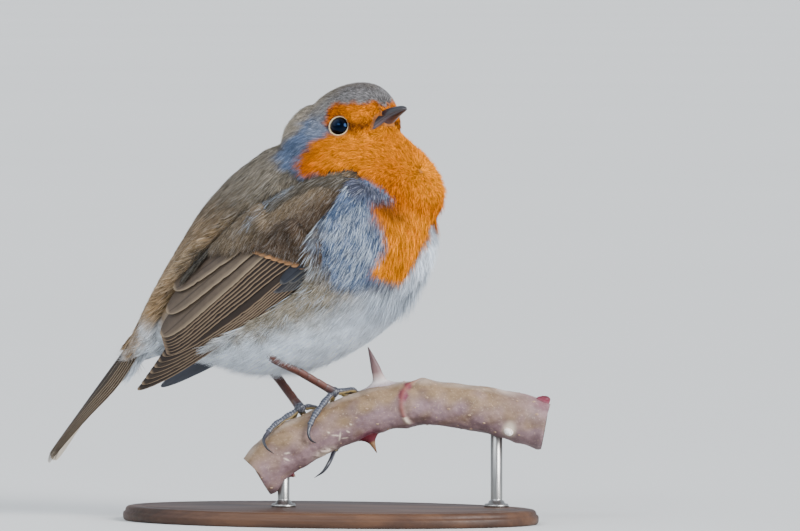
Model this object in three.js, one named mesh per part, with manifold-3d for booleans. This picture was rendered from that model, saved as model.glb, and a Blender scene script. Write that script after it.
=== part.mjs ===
// A life-size European robin, standing on a cut length of rose stem that two short rods hold over a base.
// Millimetres, +Z up. The bird faces +X and its middle plane is Y = 0.
// The origin is the middle of the oval base's underside.
import * as THREE from "three";
import { mergeVertices } from "three/addons/utils/BufferGeometryUtils.js";
import Module from "manifold-3d";

const GAP = 0.3; // clearance between pieces that touch

// ---------- driving dimensions ----------

// Stand: an oval base and two rods.
const BASE = { halfLength: 58, halfWidth: 33, thickness: 4, edge: 0.8 };
const ROD = { radius: 1.6, inBase: 2.2, inPerch: 2.5 };

// The perch lies in one upright plane that is turned from the bird's middle plane.
const PERCH_TURN = THREE.MathUtils.degToRad(17);
const PERCH_OFFSET = 2;
// Along the stem: distance across that plane, height of the centre line, radius.
const PERCH = [
  [-19, 12.4, 6.3],
  [-14, 18.2, 6.4],
  [-4.9, 23.3, 6.3],
  [6.7, 28.2, 6.2],
  [13.7, 30.7, 6.1],
  [20.3, 31.8, 6.0],
  [29.7, 31.9, 6.0],
  [40.5, 30.5, 6.2],
  [50.0, 28.4, 6.4],
  [58.0, 25.6, 6.5],
];
const ROD_PLACES = { stand_rod_rear: -12.6, stand_rod_front: 45 };
// Thorns and buds: place along the stem, turn round it (0 on the right side, 90 on top), height, foot, lean.
const THORNS = [
  { along: 15.0, turn: 88, height: 10.8, foot: 4.3, lean: -0.7 },
  { along: 8.4, turn: -86, height: 5.0, foot: 4.1, lean: 0.2 },
  { along: 55.2, turn: 84, height: 1.7, foot: 2.2, lean: 0.8 },
  { along: -14.8, turn: -92, height: 1.9, foot: 1.7, lean: 0.3 },
  { along: 49.2, turn: -38, height: 1.5, foot: 1.9, lean: 0.4 },
];

// Torso sections from tail root to breast: station, back x and z, belly x and z, half-width,
// and how much wider the section is below its middle.
const TORSO = [
  [0, -58.2, 46.6, -57.6, 41.4, 4.8, 0],
  [1, -53.4, 54.2, -51.6, 43.2, 7.4, 0],
  [2, -47.2, 65.6, -42.4, 44.9, 12.2, 0],
  [3, -40.2, 77.0, -30.2, 42.6, 18.0, 0.03],
  [4, -32.6, 87.6, -16.8, 40.4, 22.8, 0.05],
  [5, -25.2, 95.2, -2.7, 42.6, 25.6, 0.05],
  [6, -19.6, 99.6, 11.8, 49.6, 26.8, 0.04],
  [7, -15.6, 102.2, 21.6, 58.9, 26.4, 0.02],
  [8, -11.6, 103.6, 27.2, 67.6, 25.0, 0],
  [9, -7.2, 104.4, 29.2, 76.6, 22.8, 0],
  [10, -2.2, 104.6, 28.4, 84.8, 19.6, 0],
  [11, 3.6, 102.4, 24.0, 92.0, 14.2, 0],
];
// Neck and throat, from the rim of the breast's fold up into the head: as above,
// then how far its sides are raised.
const NECK = [
  [0, -10.8, 98.4, 22.6, 79.6, 12.0, 0, 2.4],
  [1, -13.2, 101.4, 29.8, 82.2, 18.6, 0, 2.4],
  [2, -12.9, 104.4, 32.2, 88.2, 18.4, 0, 1.6],
  [3, -11.8, 107.8, 30.0, 95.0, 14.2, 0, 0.4],
  [4, -9.3, 110.8, 25.8, 99.8, 9.7, 0, 0],
  [5, -6.2, 112.8, 22.2, 102.9, 6.7, 0, 0],
  [6, -2.0, 114.0, 17.6, 104.8, 4.5, 0, 0],
];

// Head, in its own frame: +X along the bill, origin midway between the eyes.
const HEAD_PLACE = { x: 8.4, y: 0, z: 106.8, turn: -28, raise: 23 };
// Head sections: x, top z, bottom z, half-width.
const HEAD = [
  [-13.6, 4.6, -5.5, 4.6],
  [-12.0, 8.2, -8.6, 7.8],
  [-8.8, 10.9, -10.8, 10.2],
  [-4.4, 12.2, -11.6, 11.2],
  [0, 12.3, -11.4, 10.5],
  [3.6, 11.7, -10.6, 9.7],
  [6.6, 10.5, -9.4, 8.6],
  [8.6, 8.9, -8.2, 7.2],
  [10.0, 7.1, -6.8, 5.6],
  [11.0, 4.9, -5.4, 4.0],
  [11.7, 2.2, -3.8, 2.2],
];
const EYE = { x: 1.0, z: -0.35, depth: 8.1, radius: 3.1, opening: 2.5, lid: 0.5, forward: 30 };
// Bill sections: x, culmen z, mouth-line z, keel z, half-width.
const BILL = [
  [7.6, 0.9, -2.1, -3.95, 2.8],
  [9.8, 0.75, -2.0, -3.65, 2.4],
  [12.0, 0.5, -1.95, -3.2, 2.0],
  [14.2, 0.1, -1.95, -2.85, 1.6],
  [16.2, -0.4, -2.0, -2.6, 1.15],
  [17.6, -0.95, -2.05, -2.45, 0.75],
  [18.4, -1.5, -2.15, -2.4, 0.3],
];
const GAPE = { x: 4.6, z: -2.4 };

// Folded wing, in its own plane: s runs from the wrist to the tip, t across it, positive towards the back.
const WING = { x: 10, z: 80, slope: 36, crown: 4, curve: 16, thickness: 2.9 };
// How far the wing's outer face stands off the middle plane, along s.
const WING_OUT = [
  [-14, 17.8],
  [-6, 23.2],
  [3, 26.3],
  [14, 27.4],
  [26, 26.4],
  [40, 22.6],
  [54, 17.6],
  [66, 13.2],
  [78, 10.2],
];
// Outline of the shoulder's small coverts: s, lower t, upper t.
const COVERTS = [
  [-12.0, 8.8, 10.8],
  [-10.8, 7.2, 12.6],
  [-8, 6.2, 14.6],
  [-4, 4.9, 16.6],
  [0, 3.4, 17.7],
  [4, 0.9, 18.3],
  [8, -3.4, 18.7],
  [11, -5.6, 19.0],
  [13, -5.9, 19.1],
  [16, -2.4, 19.2],
  [20, 4.4, 19.2],
  [24, 9.6, 19.1],
  [28, 13.0, 18.8],
  [32.5, 15.8, 18.0],
];
// Outline of the wing's arm and hand, which the long feathers lie on.
const ARM = [
  [6.4, 0.1, 16],
  [10, -3.8, 18],
  [14, -5.8, 18.2],
  [22, -6.2, 18],
  [32, -5.2, 17],
  [42, -3.0, 14.4],
  [50, -1.0, 10],
];
// Outline of the bed in the torso that holds the folded wing.
const BED = [
  [-12.7, 8.0, 11.6],
  [-11.2, 6.2, 13.6],
  [-8, 5.2, 15.4],
  [-4, 3.9, 17.3],
  [0, 2.7, 18.4],
  [4, 0.0, 19.0],
  [8, -4.6, 19.4],
  [12, -6.9, 19.7],
  [18, -7.6, 19.9],
  [26, -7.9, 19.9],
  [36, -7.2, 20.3],
  [44, -6.2, 20.2],
  [52, -5.2, 17.8],
  [60, -4.6, 12.4],
  [67, -4.2, 8.4],
  [80, -3.6, 5.6],
];

// Tail: its own frame runs along it, across it and down through it.
const TAIL = { x: -54.3, z: 52.0, slope: 53.0, length: 44.4, halfSpread: 3.3 };
// How the tail is folded, along it: the steepness of its roof, and its roll to the right.
const TAIL_FOLD = [
  [0, 0.75, 0.3],
  [14, 0.72, 0.3],
  [20, 0.52, 0.3],
  [26, 0.3, 0.28],
  [34, 0.18, 0.2],
  [44, 0.15, 0.08],
];

// Shank: its half-thickness fore and aft and across, and its swelling at both ends.
const SHANK = { fore: 1.15, side: 0.85, swell: 1.35 };

// ---------- tables, skins and solids ----------

// Reads a table of [key, values...] rows at any key, on a smooth curve through its rows.
function readTable(rows, key) {
  const last = rows.length - 1;
  let i = 0;
  while (i < last - 1 && key > rows[i + 1][0]) i++;
  const before = rows[Math.max(i - 1, 0)];
  const after = rows[Math.min(i + 2, last)];
  const [a, b] = [rows[i], rows[i + 1]];
  const span = b[0] - a[0];
  const t = THREE.MathUtils.clamp((key - a[0]) / span, 0, 1);
  const [t2, t3] = [t * t, t * t * t];
  return a.slice(1).map((p, k) => {
    const q = b[k + 1];
    const slopeA = ((q - before[k + 1]) / (b[0] - before[0])) * span;
    const slopeB = ((after[k + 1] - p) / (after[0] - a[0])) * span;
    const level = (2 * t3 - 3 * t2 + 1) * p + (3 * t2 - 2 * t3) * q;
    return level + (t3 - 2 * t2 + t) * slopeA + (t3 - t2) * slopeB;
  });
}

// A geometry of points and triangles, its faces turned outwards.
function meshOf(points, faces) {
  const cross = new THREE.Vector3();
  let volume = 0;
  for (const [a, b, c] of faces) volume += points[a].dot(cross.crossVectors(points[b], points[c]));
  const outward = volume > 0 ? faces : faces.map(([a, b, c]) => [a, c, b]);
  const coordinates = points.flatMap((p) => p.toArray());
  return new THREE.BufferGeometry()
    .setAttribute("position", new THREE.Float32BufferAttribute(coordinates, 3))
    .setIndex(outward.flat());
}

// A closed skin over rings that have equal counts of points, with a fan at each end.
function skin(rings) {
  const count = rings[0].length;
  const middle = (ring) => ring.reduce((sum, p) => sum.add(p), new THREE.Vector3()).divideScalar(count);
  const points = [...rings.flat(), middle(rings[0]), middle(rings.at(-1))];
  const [rootFan, tipFan] = [points.length - 2, points.length - 1];
  const faces = [];
  for (let k = 0; k < count; k++) {
    const next = (k + 1) % count;
    for (let r = 0; r < rings.length - 1; r++) {
      const [a, b, c, d] = [r * count + k, r * count + next, (r + 1) * count + next, (r + 1) * count + k];
      faces.push([a, b, c], [a, c, d]);
    }
    const top = (rings.length - 1) * count;
    faces.push([rootFan, next, k], [tipFan, top + k, top + next]);
  }
  return meshOf(points, faces);
}

// A thin plate from rows of four corners: outer pair, then the pair under them, both faces split alike.
function plate(rows) {
  const faces = [];
  for (let r = 0; r < rows.length - 1; r++) {
    const [a, b, A, B] = [0, 1, 2, 3].map((k) => r * 4 + k);
    const [c, d, C, D] = [a + 4, b + 4, A + 4, B + 4];
    faces.push([a, b, d], [a, d, c], [A, D, B], [A, C, D], [a, c, C], [a, C, A], [b, B, D], [b, D, d]);
  }
  const e = (rows.length - 1) * 4;
  faces.push([0, 2, 3], [0, 3, 1], [e, e + 1, e + 3], [e, e + 3, e + 2]);
  return meshOf(rows.flat(), faces);
}

// A tube along a curve. Its two half-thicknesses come from size(share of the length),
// and the first of them lies along side.
function tube(path, size, side, steps, corners = 8) {
  const curve = new THREE.CatmullRomCurve3(path, false, "centripetal");
  const rings = [];
  for (let i = 0; i <= steps; i++) {
    const share = i / steps;
    const centre = curve.getPointAt(share);
    const along = curve.getTangentAt(share);
    const wide = side.clone().addScaledVector(along, -side.dot(along)).normalize();
    const deep = new THREE.Vector3().crossVectors(along, wide);
    const [w, d] = size(share);
    rings.push(
      Array.from({ length: corners }, (_, k) => {
        const turn = (k / corners) * 2 * Math.PI;
        const out = wide.clone().multiplyScalar(w * Math.cos(turn));
        return out.addScaledVector(deep, d * Math.sin(turn)).add(centre);
      }),
    );
  }
  return skin(rings);
}

const wasm = await Module();
wasm.setup();

function solid(geometry) {
  const bare = new THREE.BufferGeometry();
  bare.setAttribute("position", geometry.getAttribute("position").clone());
  if (geometry.index) bare.setIndex(geometry.index.clone());
  const merged = mergeVertices(bare, 1e-4);
  return new wasm.Manifold(
    new wasm.Mesh({
      numProp: 3,
      vertProperties: new Float32Array(merged.attributes.position.array),
      triVerts: new Uint32Array(merged.index.array),
    }),
  );
}

const join = (solids) => solids.reduce((sum, next) => sum.add(next));
const cut = (body, ...tools) => tools.reduce((left, tool) => left.subtract(tool), body);
const bigger = (a, b) => (b.volume() > a.volume() ? b : a);
const largest = (body) => body.decompose().reduce(bigger);

const FINEST = 0.03; // edges and slivers smaller than this are merged away

function geometryOf(body) {
  const mesh = largest(largest(body).asOriginal().simplify(FINEST)).getMesh();
  const positions = new Float32Array(mesh.numVert * 3);
  for (let i = 0; i < mesh.numVert; i++)
    positions.set(mesh.vertProperties.subarray(i * mesh.numProp, i * mesh.numProp + 3), i * 3);
  const geometry = new THREE.BufferGeometry()
    .setAttribute("position", new THREE.BufferAttribute(positions, 3))
    .setIndex(new THREE.BufferAttribute(new Uint32Array(mesh.triVerts), 1));
  geometry.computeVertexNormals();
  return geometry;
}

const robin = new THREE.Group();
robin.name = "robin";

function addNode(name, body, material, parent = robin) {
  const mesh = new THREE.Mesh(geometryOf(body), material);
  mesh.name = name;
  parent.add(mesh);
  return mesh;
}

function finish(color, roughness, metalness = 0) {
  return new THREE.MeshStandardMaterial({ color, roughness, metalness });
}
const MATERIALS = {
  brownFeather: finish(0x74674f, 0.85),
  flightFeather: finish(0x4f4237, 0.7),
  orangeFeather: finish(0xe07b17, 0.85),
  paleFeather: finish(0xcfd0cb, 0.9),
  horn: finish(0x2b2a2e, 0.35),
  leg: finish(0x7a4f3d, 0.55),
  toe: finish(0x2f2a2c, 0.55),
  eye: finish(0x07070a, 0.05),
  bark: finish(0x9a7f66, 0.75),
  wood: finish(0x3b2a20, 0.45),
  rod: finish(0x9b9a96, 0.3, 1),
};

// ---------- body: torso, neck and head ----------

// Rings across the bird, from back point to belly point, grown outwards and past both ends by a clearance.
function bodyRings(table, count, corners, grow) {
  const [first, last] = [table[0][0], table.at(-1)[0]];
  const centre = (key) => {
    const [bx, bz, vx, vz] = readTable(table, key);
    return new THREE.Vector3((bx + vx) / 2, 0, (bz + vz) / 2);
  };
  return Array.from({ length: count + 1 }, (_, i) => {
    const key = first + ((last - first) * i) / count;
    const [bx, bz, vx, vz, half, full, raise = 0] = readTable(table, key);
    const middle = centre(key);
    const up = new THREE.Vector3(bx, 0, bz).sub(middle);
    const reach = up.length() + grow;
    up.normalize();
    const onward = centre(Math.min(key + 0.1, last)).sub(centre(Math.max(key - 0.1, first))).normalize();
    if (i === 0) middle.addScaledVector(onward, -grow);
    if (i === count) middle.addScaledVector(onward, grow);
    return Array.from({ length: corners }, (_, k) => {
      const turn = (k / corners) * 2 * Math.PI;
      const side = (half + grow) * Math.cos(turn) * (1 - full * Math.sin(turn));
      const lift = raise * Math.abs(Math.cos(turn)) ** 1.3;
      const point = middle.clone().addScaledVector(up, reach * Math.sin(turn));
      return point.set(point.x, side, point.z + lift);
    });
  });
}
const torsoSkin = (grow = 0) => skin(bodyRings(TORSO, 20, 26, grow));
const neckSkin = (grow = 0) => skin(bodyRings(NECK, 10, 26, grow));

const headFrame = new THREE.Group();
headFrame.name = "head_frame";
headFrame.position.set(HEAD_PLACE.x, HEAD_PLACE.y, HEAD_PLACE.z);
headFrame.rotation.set(
  0,
  THREE.MathUtils.degToRad(-HEAD_PLACE.raise),
  THREE.MathUtils.degToRad(HEAD_PLACE.turn),
  "ZYX",
);
headFrame.updateMatrixWorld(true);
robin.add(headFrame);

function headSkin(grow = 0) {
  const [first, last] = [HEAD[0][0], HEAD.at(-1)[0]];
  const count = 12;
  return skin(
    Array.from({ length: count + 1 }, (_, i) => {
      const x = first + ((last - first) * i) / count;
      const [top, bottom, half] = readTable(HEAD, x);
      const reach = i === 0 ? -grow : i === count ? grow : 0;
      return Array.from({ length: 20 }, (_, k) => {
        const turn = (k / 20) * 2 * Math.PI;
        const rise = (top - bottom) / 2 + grow;
        const full = (value) => Math.sign(value) * Math.abs(value) ** 0.87;
        const across = (half + grow) * full(Math.cos(turn));
        return new THREE.Vector3(x + reach, across, (top + bottom) / 2 + rise * full(Math.sin(turn)));
      });
    }),
  );
}

// Frame of one eye: its axis points sideways and somewhat forwards.
function eyeFrame(side) {
  const forward = THREE.MathUtils.degToRad(EYE.forward);
  const axis = new THREE.Vector3(Math.sin(forward), side * Math.cos(forward), 0.06).normalize();
  const centre = new THREE.Vector3(EYE.x, side * EYE.depth, EYE.z);
  const turn = new THREE.Quaternion().setFromUnitVectors(new THREE.Vector3(0, 0, 1), axis);
  return new THREE.Matrix4().compose(centre, turn, new THREE.Vector3(1, 1, 1));
}
const eyeBall = (side, grow = 0) =>
  new THREE.SphereGeometry(EYE.radius + grow, 16, 9).rotateX(Math.PI / 2).applyMatrix4(eyeFrame(side));

// The lids: a low ring round the opening, seated where the eyeball's cap comes out.
function lids(side, grow = 0) {
  const lift = Math.sqrt(EYE.radius ** 2 - EYE.opening ** 2);
  const ring = new THREE.TorusGeometry(EYE.opening + EYE.lid * 0.75, EYE.lid + grow, 6, 16);
  return ring.translate(0, 0, lift - 0.1).applyMatrix4(eyeFrame(side));
}

// Bill: both halves are one tapered form, parted along the mouth line.
function billHalf(upper, grow = 0) {
  const [first, last] = [BILL[0][0], BILL.at(-1)[0]];
  const count = 12;
  const sign = upper ? 1 : -1;
  return skin(
    Array.from({ length: count + 1 }, (_, i) => {
      const x = first + ((last - first) * i) / count;
      const [culmen, mouth, keel, half] = readTable(BILL, x);
      const seat = mouth + (sign * GAP) / 2 - sign * grow;
      const rise = (upper ? culmen - mouth : mouth - keel) - GAP / 2 + 2 * grow;
      return Array.from({ length: 9 }, (_, k) => {
        const turn = (k / 8) * Math.PI;
        const height = seat + sign * rise * Math.sin(turn) ** 0.8;
        return new THREE.Vector3(x, (half + grow) * Math.cos(turn), height);
      });
    }),
  );
}

function nostril(side) {
  return new THREE.SphereGeometry(0.5, 8, 6).scale(1.5, 0.7, 0.6).translate(11.0, side * 1.95, -1.0);
}

// The shallow dish in the plumage round the lids.
function orbit(side) {
  const lift = Math.sqrt(EYE.radius ** 2 - EYE.opening ** 2);
  const dish = new THREE.SphereGeometry(5, 16, 10).rotateX(Math.PI / 2);
  return dish.translate(0, 0, lift + 4.75).applyMatrix4(eyeFrame(side));
}

function buildHead() {
  const sides = [-1, 1];
  const mouthLine = new THREE.BoxGeometry(7, 40, GAP).translate(GAPE.x + 3.5, 0, GAPE.z);
  const inside = headSkin(-0.7);
  const groove = solid(mouthLine).subtract(solid(inside));
  const bill = [true, false].map((upper) => solid(billHalf(upper, GAP)));
  const dished = cut(solid(headSkin()), ...sides.map((side) => solid(orbit(side))));
  const head = cut(
    join([dished, ...sides.map((side) => solid(lids(side)))]),
    ...sides.map((side) => solid(eyeBall(side, GAP))),
    ...bill,
    groove,
  );
  addNode("head", head, MATERIALS.orangeFeather, headFrame);
  addNode("eye_left", solid(eyeBall(1)), MATERIALS.eye, headFrame);
  addNode("eye_right", solid(eyeBall(-1)), MATERIALS.eye, headFrame);
  const upper = cut(solid(billHalf(true)), ...sides.map((side) => solid(nostril(side))));
  addNode("bill_upper", upper, MATERIALS.horn, headFrame);
  addNode("bill_lower", solid(billHalf(false)), MATERIALS.horn, headFrame);
}

// ---------- wings ----------

// A point of the right wing: s along it, t across it, depth below its outer face.
function onWing(s, t, depth) {
  const slope = THREE.MathUtils.degToRad(WING.slope);
  const x = WING.x - s * Math.cos(slope) - t * Math.sin(slope);
  const z = WING.z - s * Math.sin(slope) + t * Math.cos(slope);
  const [out] = readTable(WING_OUT, s);
  return new THREE.Vector3(x, -(out - (t - WING.crown) ** 2 / (2 * WING.curve) - depth), z);
}

// One feather: a thin blade on a bowed centre line. It leans like a roof tile:
// its open edge, towards -t, is outermost and its other edge is tucked in.
function feather({ on, root, tip, bow = 0, width, round = 8, tuck, sink = 0, thickness = 0.55 }) {
  const shares = [0, 0.3, 0.6, 0.82, 0.95, 1];
  const [ds, dt] = [tip[0] - root[0], tip[1] - root[1]];
  const length = Math.hypot(ds, dt);
  const normal = [-dt / length, ds / length];
  return plate(
    shares.map((share) => {
      const sway = bow * 4 * share * (1 - share);
      const centre = [root[0] + ds * share + normal[0] * sway, root[1] + dt * share + normal[1] * sway];
      const opening = 0.62 + 0.38 * Math.min(1, share / 0.4);
      const half = (width / 2) * opening * Math.sqrt(1 - (share * 0.997) ** round);
      const edge = (way) => [centre[0] + way * half * normal[0], centre[1] + way * half * normal[1]];
      const [open, tucked] = [edge(-1), edge(1)];
      const depth = sink + (tuck * 2 * half) / width;
      return [
        on(...open, sink),
        on(...tucked, depth),
        on(...open, sink + thickness),
        on(...tucked, depth + thickness),
      ];
    }),
  );
}

// Feather tracts of the wing: how many, first and last root and tip in (s, t), and the blade's form.
const WING_TRACTS = [
  {
    count: 3, // tertials
    root: [[16, 13.0], [14, 8.4]],
    tip: [[50, 15.8], [60.4, 7.6]],
    width: [7.6, 8.0],
    form: { bow: 0.8, round: 7, tuck: 2.0 },
  },
  {
    count: 5, // secondaries
    root: [[14, 7.2], [12, 1.4]],
    tip: [[60.6, 6.6], [62, 2.8]],
    width: [7.6, 6.8],
    form: { bow: 1.0, round: 8, tuck: 2.0 },
  },
  {
    count: 6, // primaries
    root: [[12, 0.2], [10, -4.2]],
    tip: [[63.4, 3.0], [75.8, 0.2]],
    width: [6.4, 5.0],
    form: { bow: -0.9, round: 5, tuck: 1.9 },
  },
  {
    count: 7, // greater coverts
    root: [[10, 9.0], [7.4, 1.0]],
    tip: [[22.8, 8.8], [13.6, -4.2]],
    width: [5.2, 4.4],
    form: { round: 6, tuck: 1.3, sink: -0.6 },
  },
  {
    count: 3, // primary coverts
    root: [[13, -1.0], [12, -3.0]],
    tip: [[24.6, -3.4], [20.6, -5.4]],
    width: [3.6, 3.0],
    form: { round: 5, tuck: 1.2, sink: -0.3 },
  },
];

function wingFeathers() {
  const mix = (pair, share) => pair[0].map((v, k) => THREE.MathUtils.lerp(v, pair[1][k], share));
  return WING_TRACTS.flatMap(({ count, root, tip, width, form }) =>
    Array.from({ length: count }, (_, i) => {
      const share = i / (count - 1);
      const blade = { on: onWing, root: mix(root, share), tip: mix(tip, share), ...form };
      return solid(feather({ ...blade, width: THREE.MathUtils.lerp(width[0], width[1], share) }));
    }),
  );
}

// A body that follows the wing's curve inside an outline, between two depths, thinner at its edges.
function wingLayer(outline, count, across, outer, inner, edge) {
  const [first, last] = [outline[0][0], outline.at(-1)[0]];
  return skin(
    Array.from({ length: count + 1 }, (_, i) => {
      const s = first + ((last - first) * i) / count;
      const ends = Math.min(1, Math.min(i, count - i) / 2);
      const [low, high] = readTable(outline, s);
      const point = (share, depth, sign) => {
        const fall = 1 - ends * (1 - Math.abs(2 * share - 1) ** 6);
        return onWing(s, THREE.MathUtils.lerp(low, high, share), depth + sign * edge * fall);
      };
      const shares = Array.from({ length: across + 1 }, (_, k) => k / across);
      return [
        ...shares.map((share) => point(share, outer, 1)),
        ...shares.toReversed().map((share) => point(share, inner, -1)),
      ];
    }),
  );
}

// The hollow in the torso that a folded wing lies in.
const wingBed = () => wingLayer(BED, 16, 6, -30, WING.thickness + 0.1 + GAP, 0);

function buildWings() {
  const coverts = solid(wingLayer(COVERTS, 14, 5, -0.45, WING.thickness - 0.55, 0.8));
  const arm = solid(wingLayer(ARM, 8, 4, 1.2, WING.thickness, 0.3));
  const wing = join([coverts, arm, ...wingFeathers()]);
  const clear = cut(wing, solid(neckSkin(GAP)), solid(headSkin(GAP).applyMatrix4(headFrame.matrixWorld)));
  addNode("wing_right", clear, MATERIALS.flightFeather);
  addNode("wing_left", clear, MATERIALS.flightFeather).scale.set(1, -1, 1);
}

// ---------- tail ----------

// A point of the tail: along it from its root, across it, and depth below its roof-shaped upper face.
function onTail(along, across, depth) {
  const slope = THREE.MathUtils.degToRad(TAIL.slope);
  const [roof, roll] = readTable(TAIL_FOLD, along);
  const drop = depth + roof * (Math.hypot(across, 1.5) - 1.5) - roll * across;
  const x = TAIL.x - along * Math.cos(slope) + drop * Math.sin(slope);
  const z = TAIL.z - along * Math.sin(slope) - drop * Math.cos(slope);
  return new THREE.Vector3(x, across, z);
}

// A flat body along the tail from [along, half-width, half-depth, middle's depth] stations.
function tailBody(stations, count, grow = 0) {
  const [first, last] = [stations[0][0], stations.at(-1)[0]];
  return skin(
    Array.from({ length: count + 1 }, (_, i) => {
      const along = first + ((last - first) * i) / count;
      const [half, deep, middle] = readTable(stations, along);
      const reach = i === 0 ? -grow : i === count ? grow : 0;
      return Array.from({ length: 12 }, (_, k) => {
        const turn = (k / 12) * 2 * Math.PI;
        const depth = middle + (deep + grow) * Math.sin(turn);
        return onTail(along + reach, (half + grow) * Math.cos(turn), depth);
      });
    }),
  );
}
const TAIL_ROOT = [
  [0, 2.2, 1.3, 1.6],
  [4, 3.0, 1.6, 1.8],
  [12, 3.3, 1.5, 1.9],
  [19, 2.6, 1.0, 1.9],
];
// The room the tail needs inside the rump.
const TAIL_ROOM = [
  [-0.6, 3.6, 2.7, 1.7],
  [8, 5.2, 3.1, 1.7],
  [16, 7.0, 4.0, 1.5],
  [24, 9.0, 5.5, 1.2],
];

// Six pairs of tail feathers: the middle pair lies on top, and each pair outside it lies a little lower.
function buildTail() {
  const feathers = [];
  for (const side of [-1, 1])
    for (let pair = 0; pair < 6; pair++) {
      const spread = 0.5 + (TAIL.halfSpread - 0.5) * (pair / 5);
      const length = TAIL.length - 1.4 + 1.6 * Math.sin((pair / 5) * Math.PI * 0.7);
      const mirrored = (along, across, depth) => onTail(along, -side * across, depth);
      const ends = { root: [4, -(0.4 + spread * 0.45)], tip: [length, -spread] };
      const blade = { on: mirrored, ...ends, width: 5.2, round: 9, tuck: -0.25, sink: 0.3 + pair * 0.32 };
      feathers.push(solid(feather({ ...blade, thickness: 0.5 })));
    }
  addNode("tail", join([solid(tailBody(TAIL_ROOT, 5)), ...feathers]), MATERIALS.flightFeather);
}

// ---------- perch and stand ----------

const perchAcross = new THREE.Vector3(Math.cos(PERCH_TURN), Math.sin(PERCH_TURN), 0);
const perchAway = new THREE.Vector3(-Math.sin(PERCH_TURN), Math.cos(PERCH_TURN), 0);
const UP = new THREE.Vector3(0, 0, 1);

function inPerchPlane(across, height) {
  return perchAcross.clone().multiplyScalar(across).addScaledVector(perchAway, PERCH_OFFSET).setZ(height);
}

// A point by the stem: distance along the perch's plane, turn round the stem, and lift above its bark.
function byStem(along, turn, lift) {
  const [height, radius] = readTable(PERCH, along);
  const [ahead] = readTable(PERCH, along + 0.5);
  const [behind] = readTable(PERCH, along - 0.5);
  const tangent = perchAcross.clone().addScaledVector(UP, ahead - behind).normalize();
  const normal = new THREE.Vector3().crossVectors(tangent, perchAway.clone().negate()).negate().normalize();
  if (normal.z < 0) normal.negate();
  const angle = THREE.MathUtils.degToRad(turn);
  return inPerchPlane(along, height)
    .addScaledVector(normal, (radius + lift) * Math.sin(angle))
    .addScaledVector(perchAway, -(radius + lift) * Math.cos(angle));
}

function stem(grow = 0) {
  const count = 22;
  const [first, last] = [PERCH[0][0], PERCH.at(-1)[0]];
  const knots = [-9.5, 12.5, 20.5, 52];
  return skin(
    Array.from({ length: count + 1 }, (_, i) => {
      const along = first + ((last - first) * i) / count;
      const swell = knots.reduce((sum, at) => sum + 0.35 * Math.exp(-(((along - at) / 2.2) ** 2)), 0);
      return Array.from({ length: 18 }, (_, k) => byStem(along, (k / 18) * 360, swell + grow));
    }),
  );
}

// A thorn: a foot that is long along the stem, drawn up into a leaning point.
function thorn({ along, turn, height, foot, lean }) {
  const rise = [-1.2, 0, 0.4, 1.4, height * 0.5, height];
  const share = [1.12, 1, 0.7, 0.36, 0.2, 0.03];
  return skin(
    rise.map((lift, i) =>
      Array.from({ length: 6 }, (_, k) => {
        const around = (k / 6) * 2 * Math.PI;
        const tilt = lean * Math.max(0, lift / height) ** 1.4;
        const spread = (share[i] * foot * 0.5 * Math.sin(around) * 57.3) / 6.2;
        const place = along + tilt + share[i] * foot * Math.cos(around);
        return byStem(place, turn + spread, Math.min(lift, height));
      }),
    ),
  );
}

const rodTop = (across) => {
  const [height, radius] = readTable(PERCH, across);
  const rise = readTable(PERCH, across + 0.5)[0] - readTable(PERCH, across - 0.5)[0];
  return height - radius * Math.hypot(1, rise) + ROD.inPerch;
};
function rodShape(across, grow = 0) {
  const low = BASE.thickness - ROD.inBase - grow;
  const high = rodTop(across) + grow;
  const centre = inPerchPlane(across, (low + high) / 2);
  return new THREE.CylinderGeometry(ROD.radius + grow, ROD.radius + grow, high - low, 16)
    .rotateX(Math.PI / 2)
    .translate(centre.x, centre.y, centre.z);
}

function buildStand() {
  const oval = new THREE.Shape();
  oval.absellipse(0, 0, BASE.halfLength - BASE.edge, BASE.halfWidth - BASE.edge, 0, 2 * Math.PI);
  const plinth = new THREE.ExtrudeGeometry(oval, {
    depth: BASE.thickness - 2 * BASE.edge,
    curveSegments: 20,
    bevelThickness: BASE.edge,
    bevelSize: BASE.edge,
    bevelSegments: 1,
  }).translate(0, 0, BASE.edge);
  const holes = Object.values(ROD_PLACES).map((across) => solid(rodShape(across, GAP)));
  addNode("stand_base", cut(solid(plinth), ...holes), MATERIALS.wood);
  const perch = cut(join([solid(stem()), ...THORNS.map((one) => solid(thorn(one)))]), ...holes);
  addNode("perch_stem", perch, MATERIALS.bark);
  for (const [name, across] of Object.entries(ROD_PLACES)) {
    addNode(name, solid(rodShape(across)), MATERIALS.rod);
  }
}

// ---------- legs and feet ----------

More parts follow.
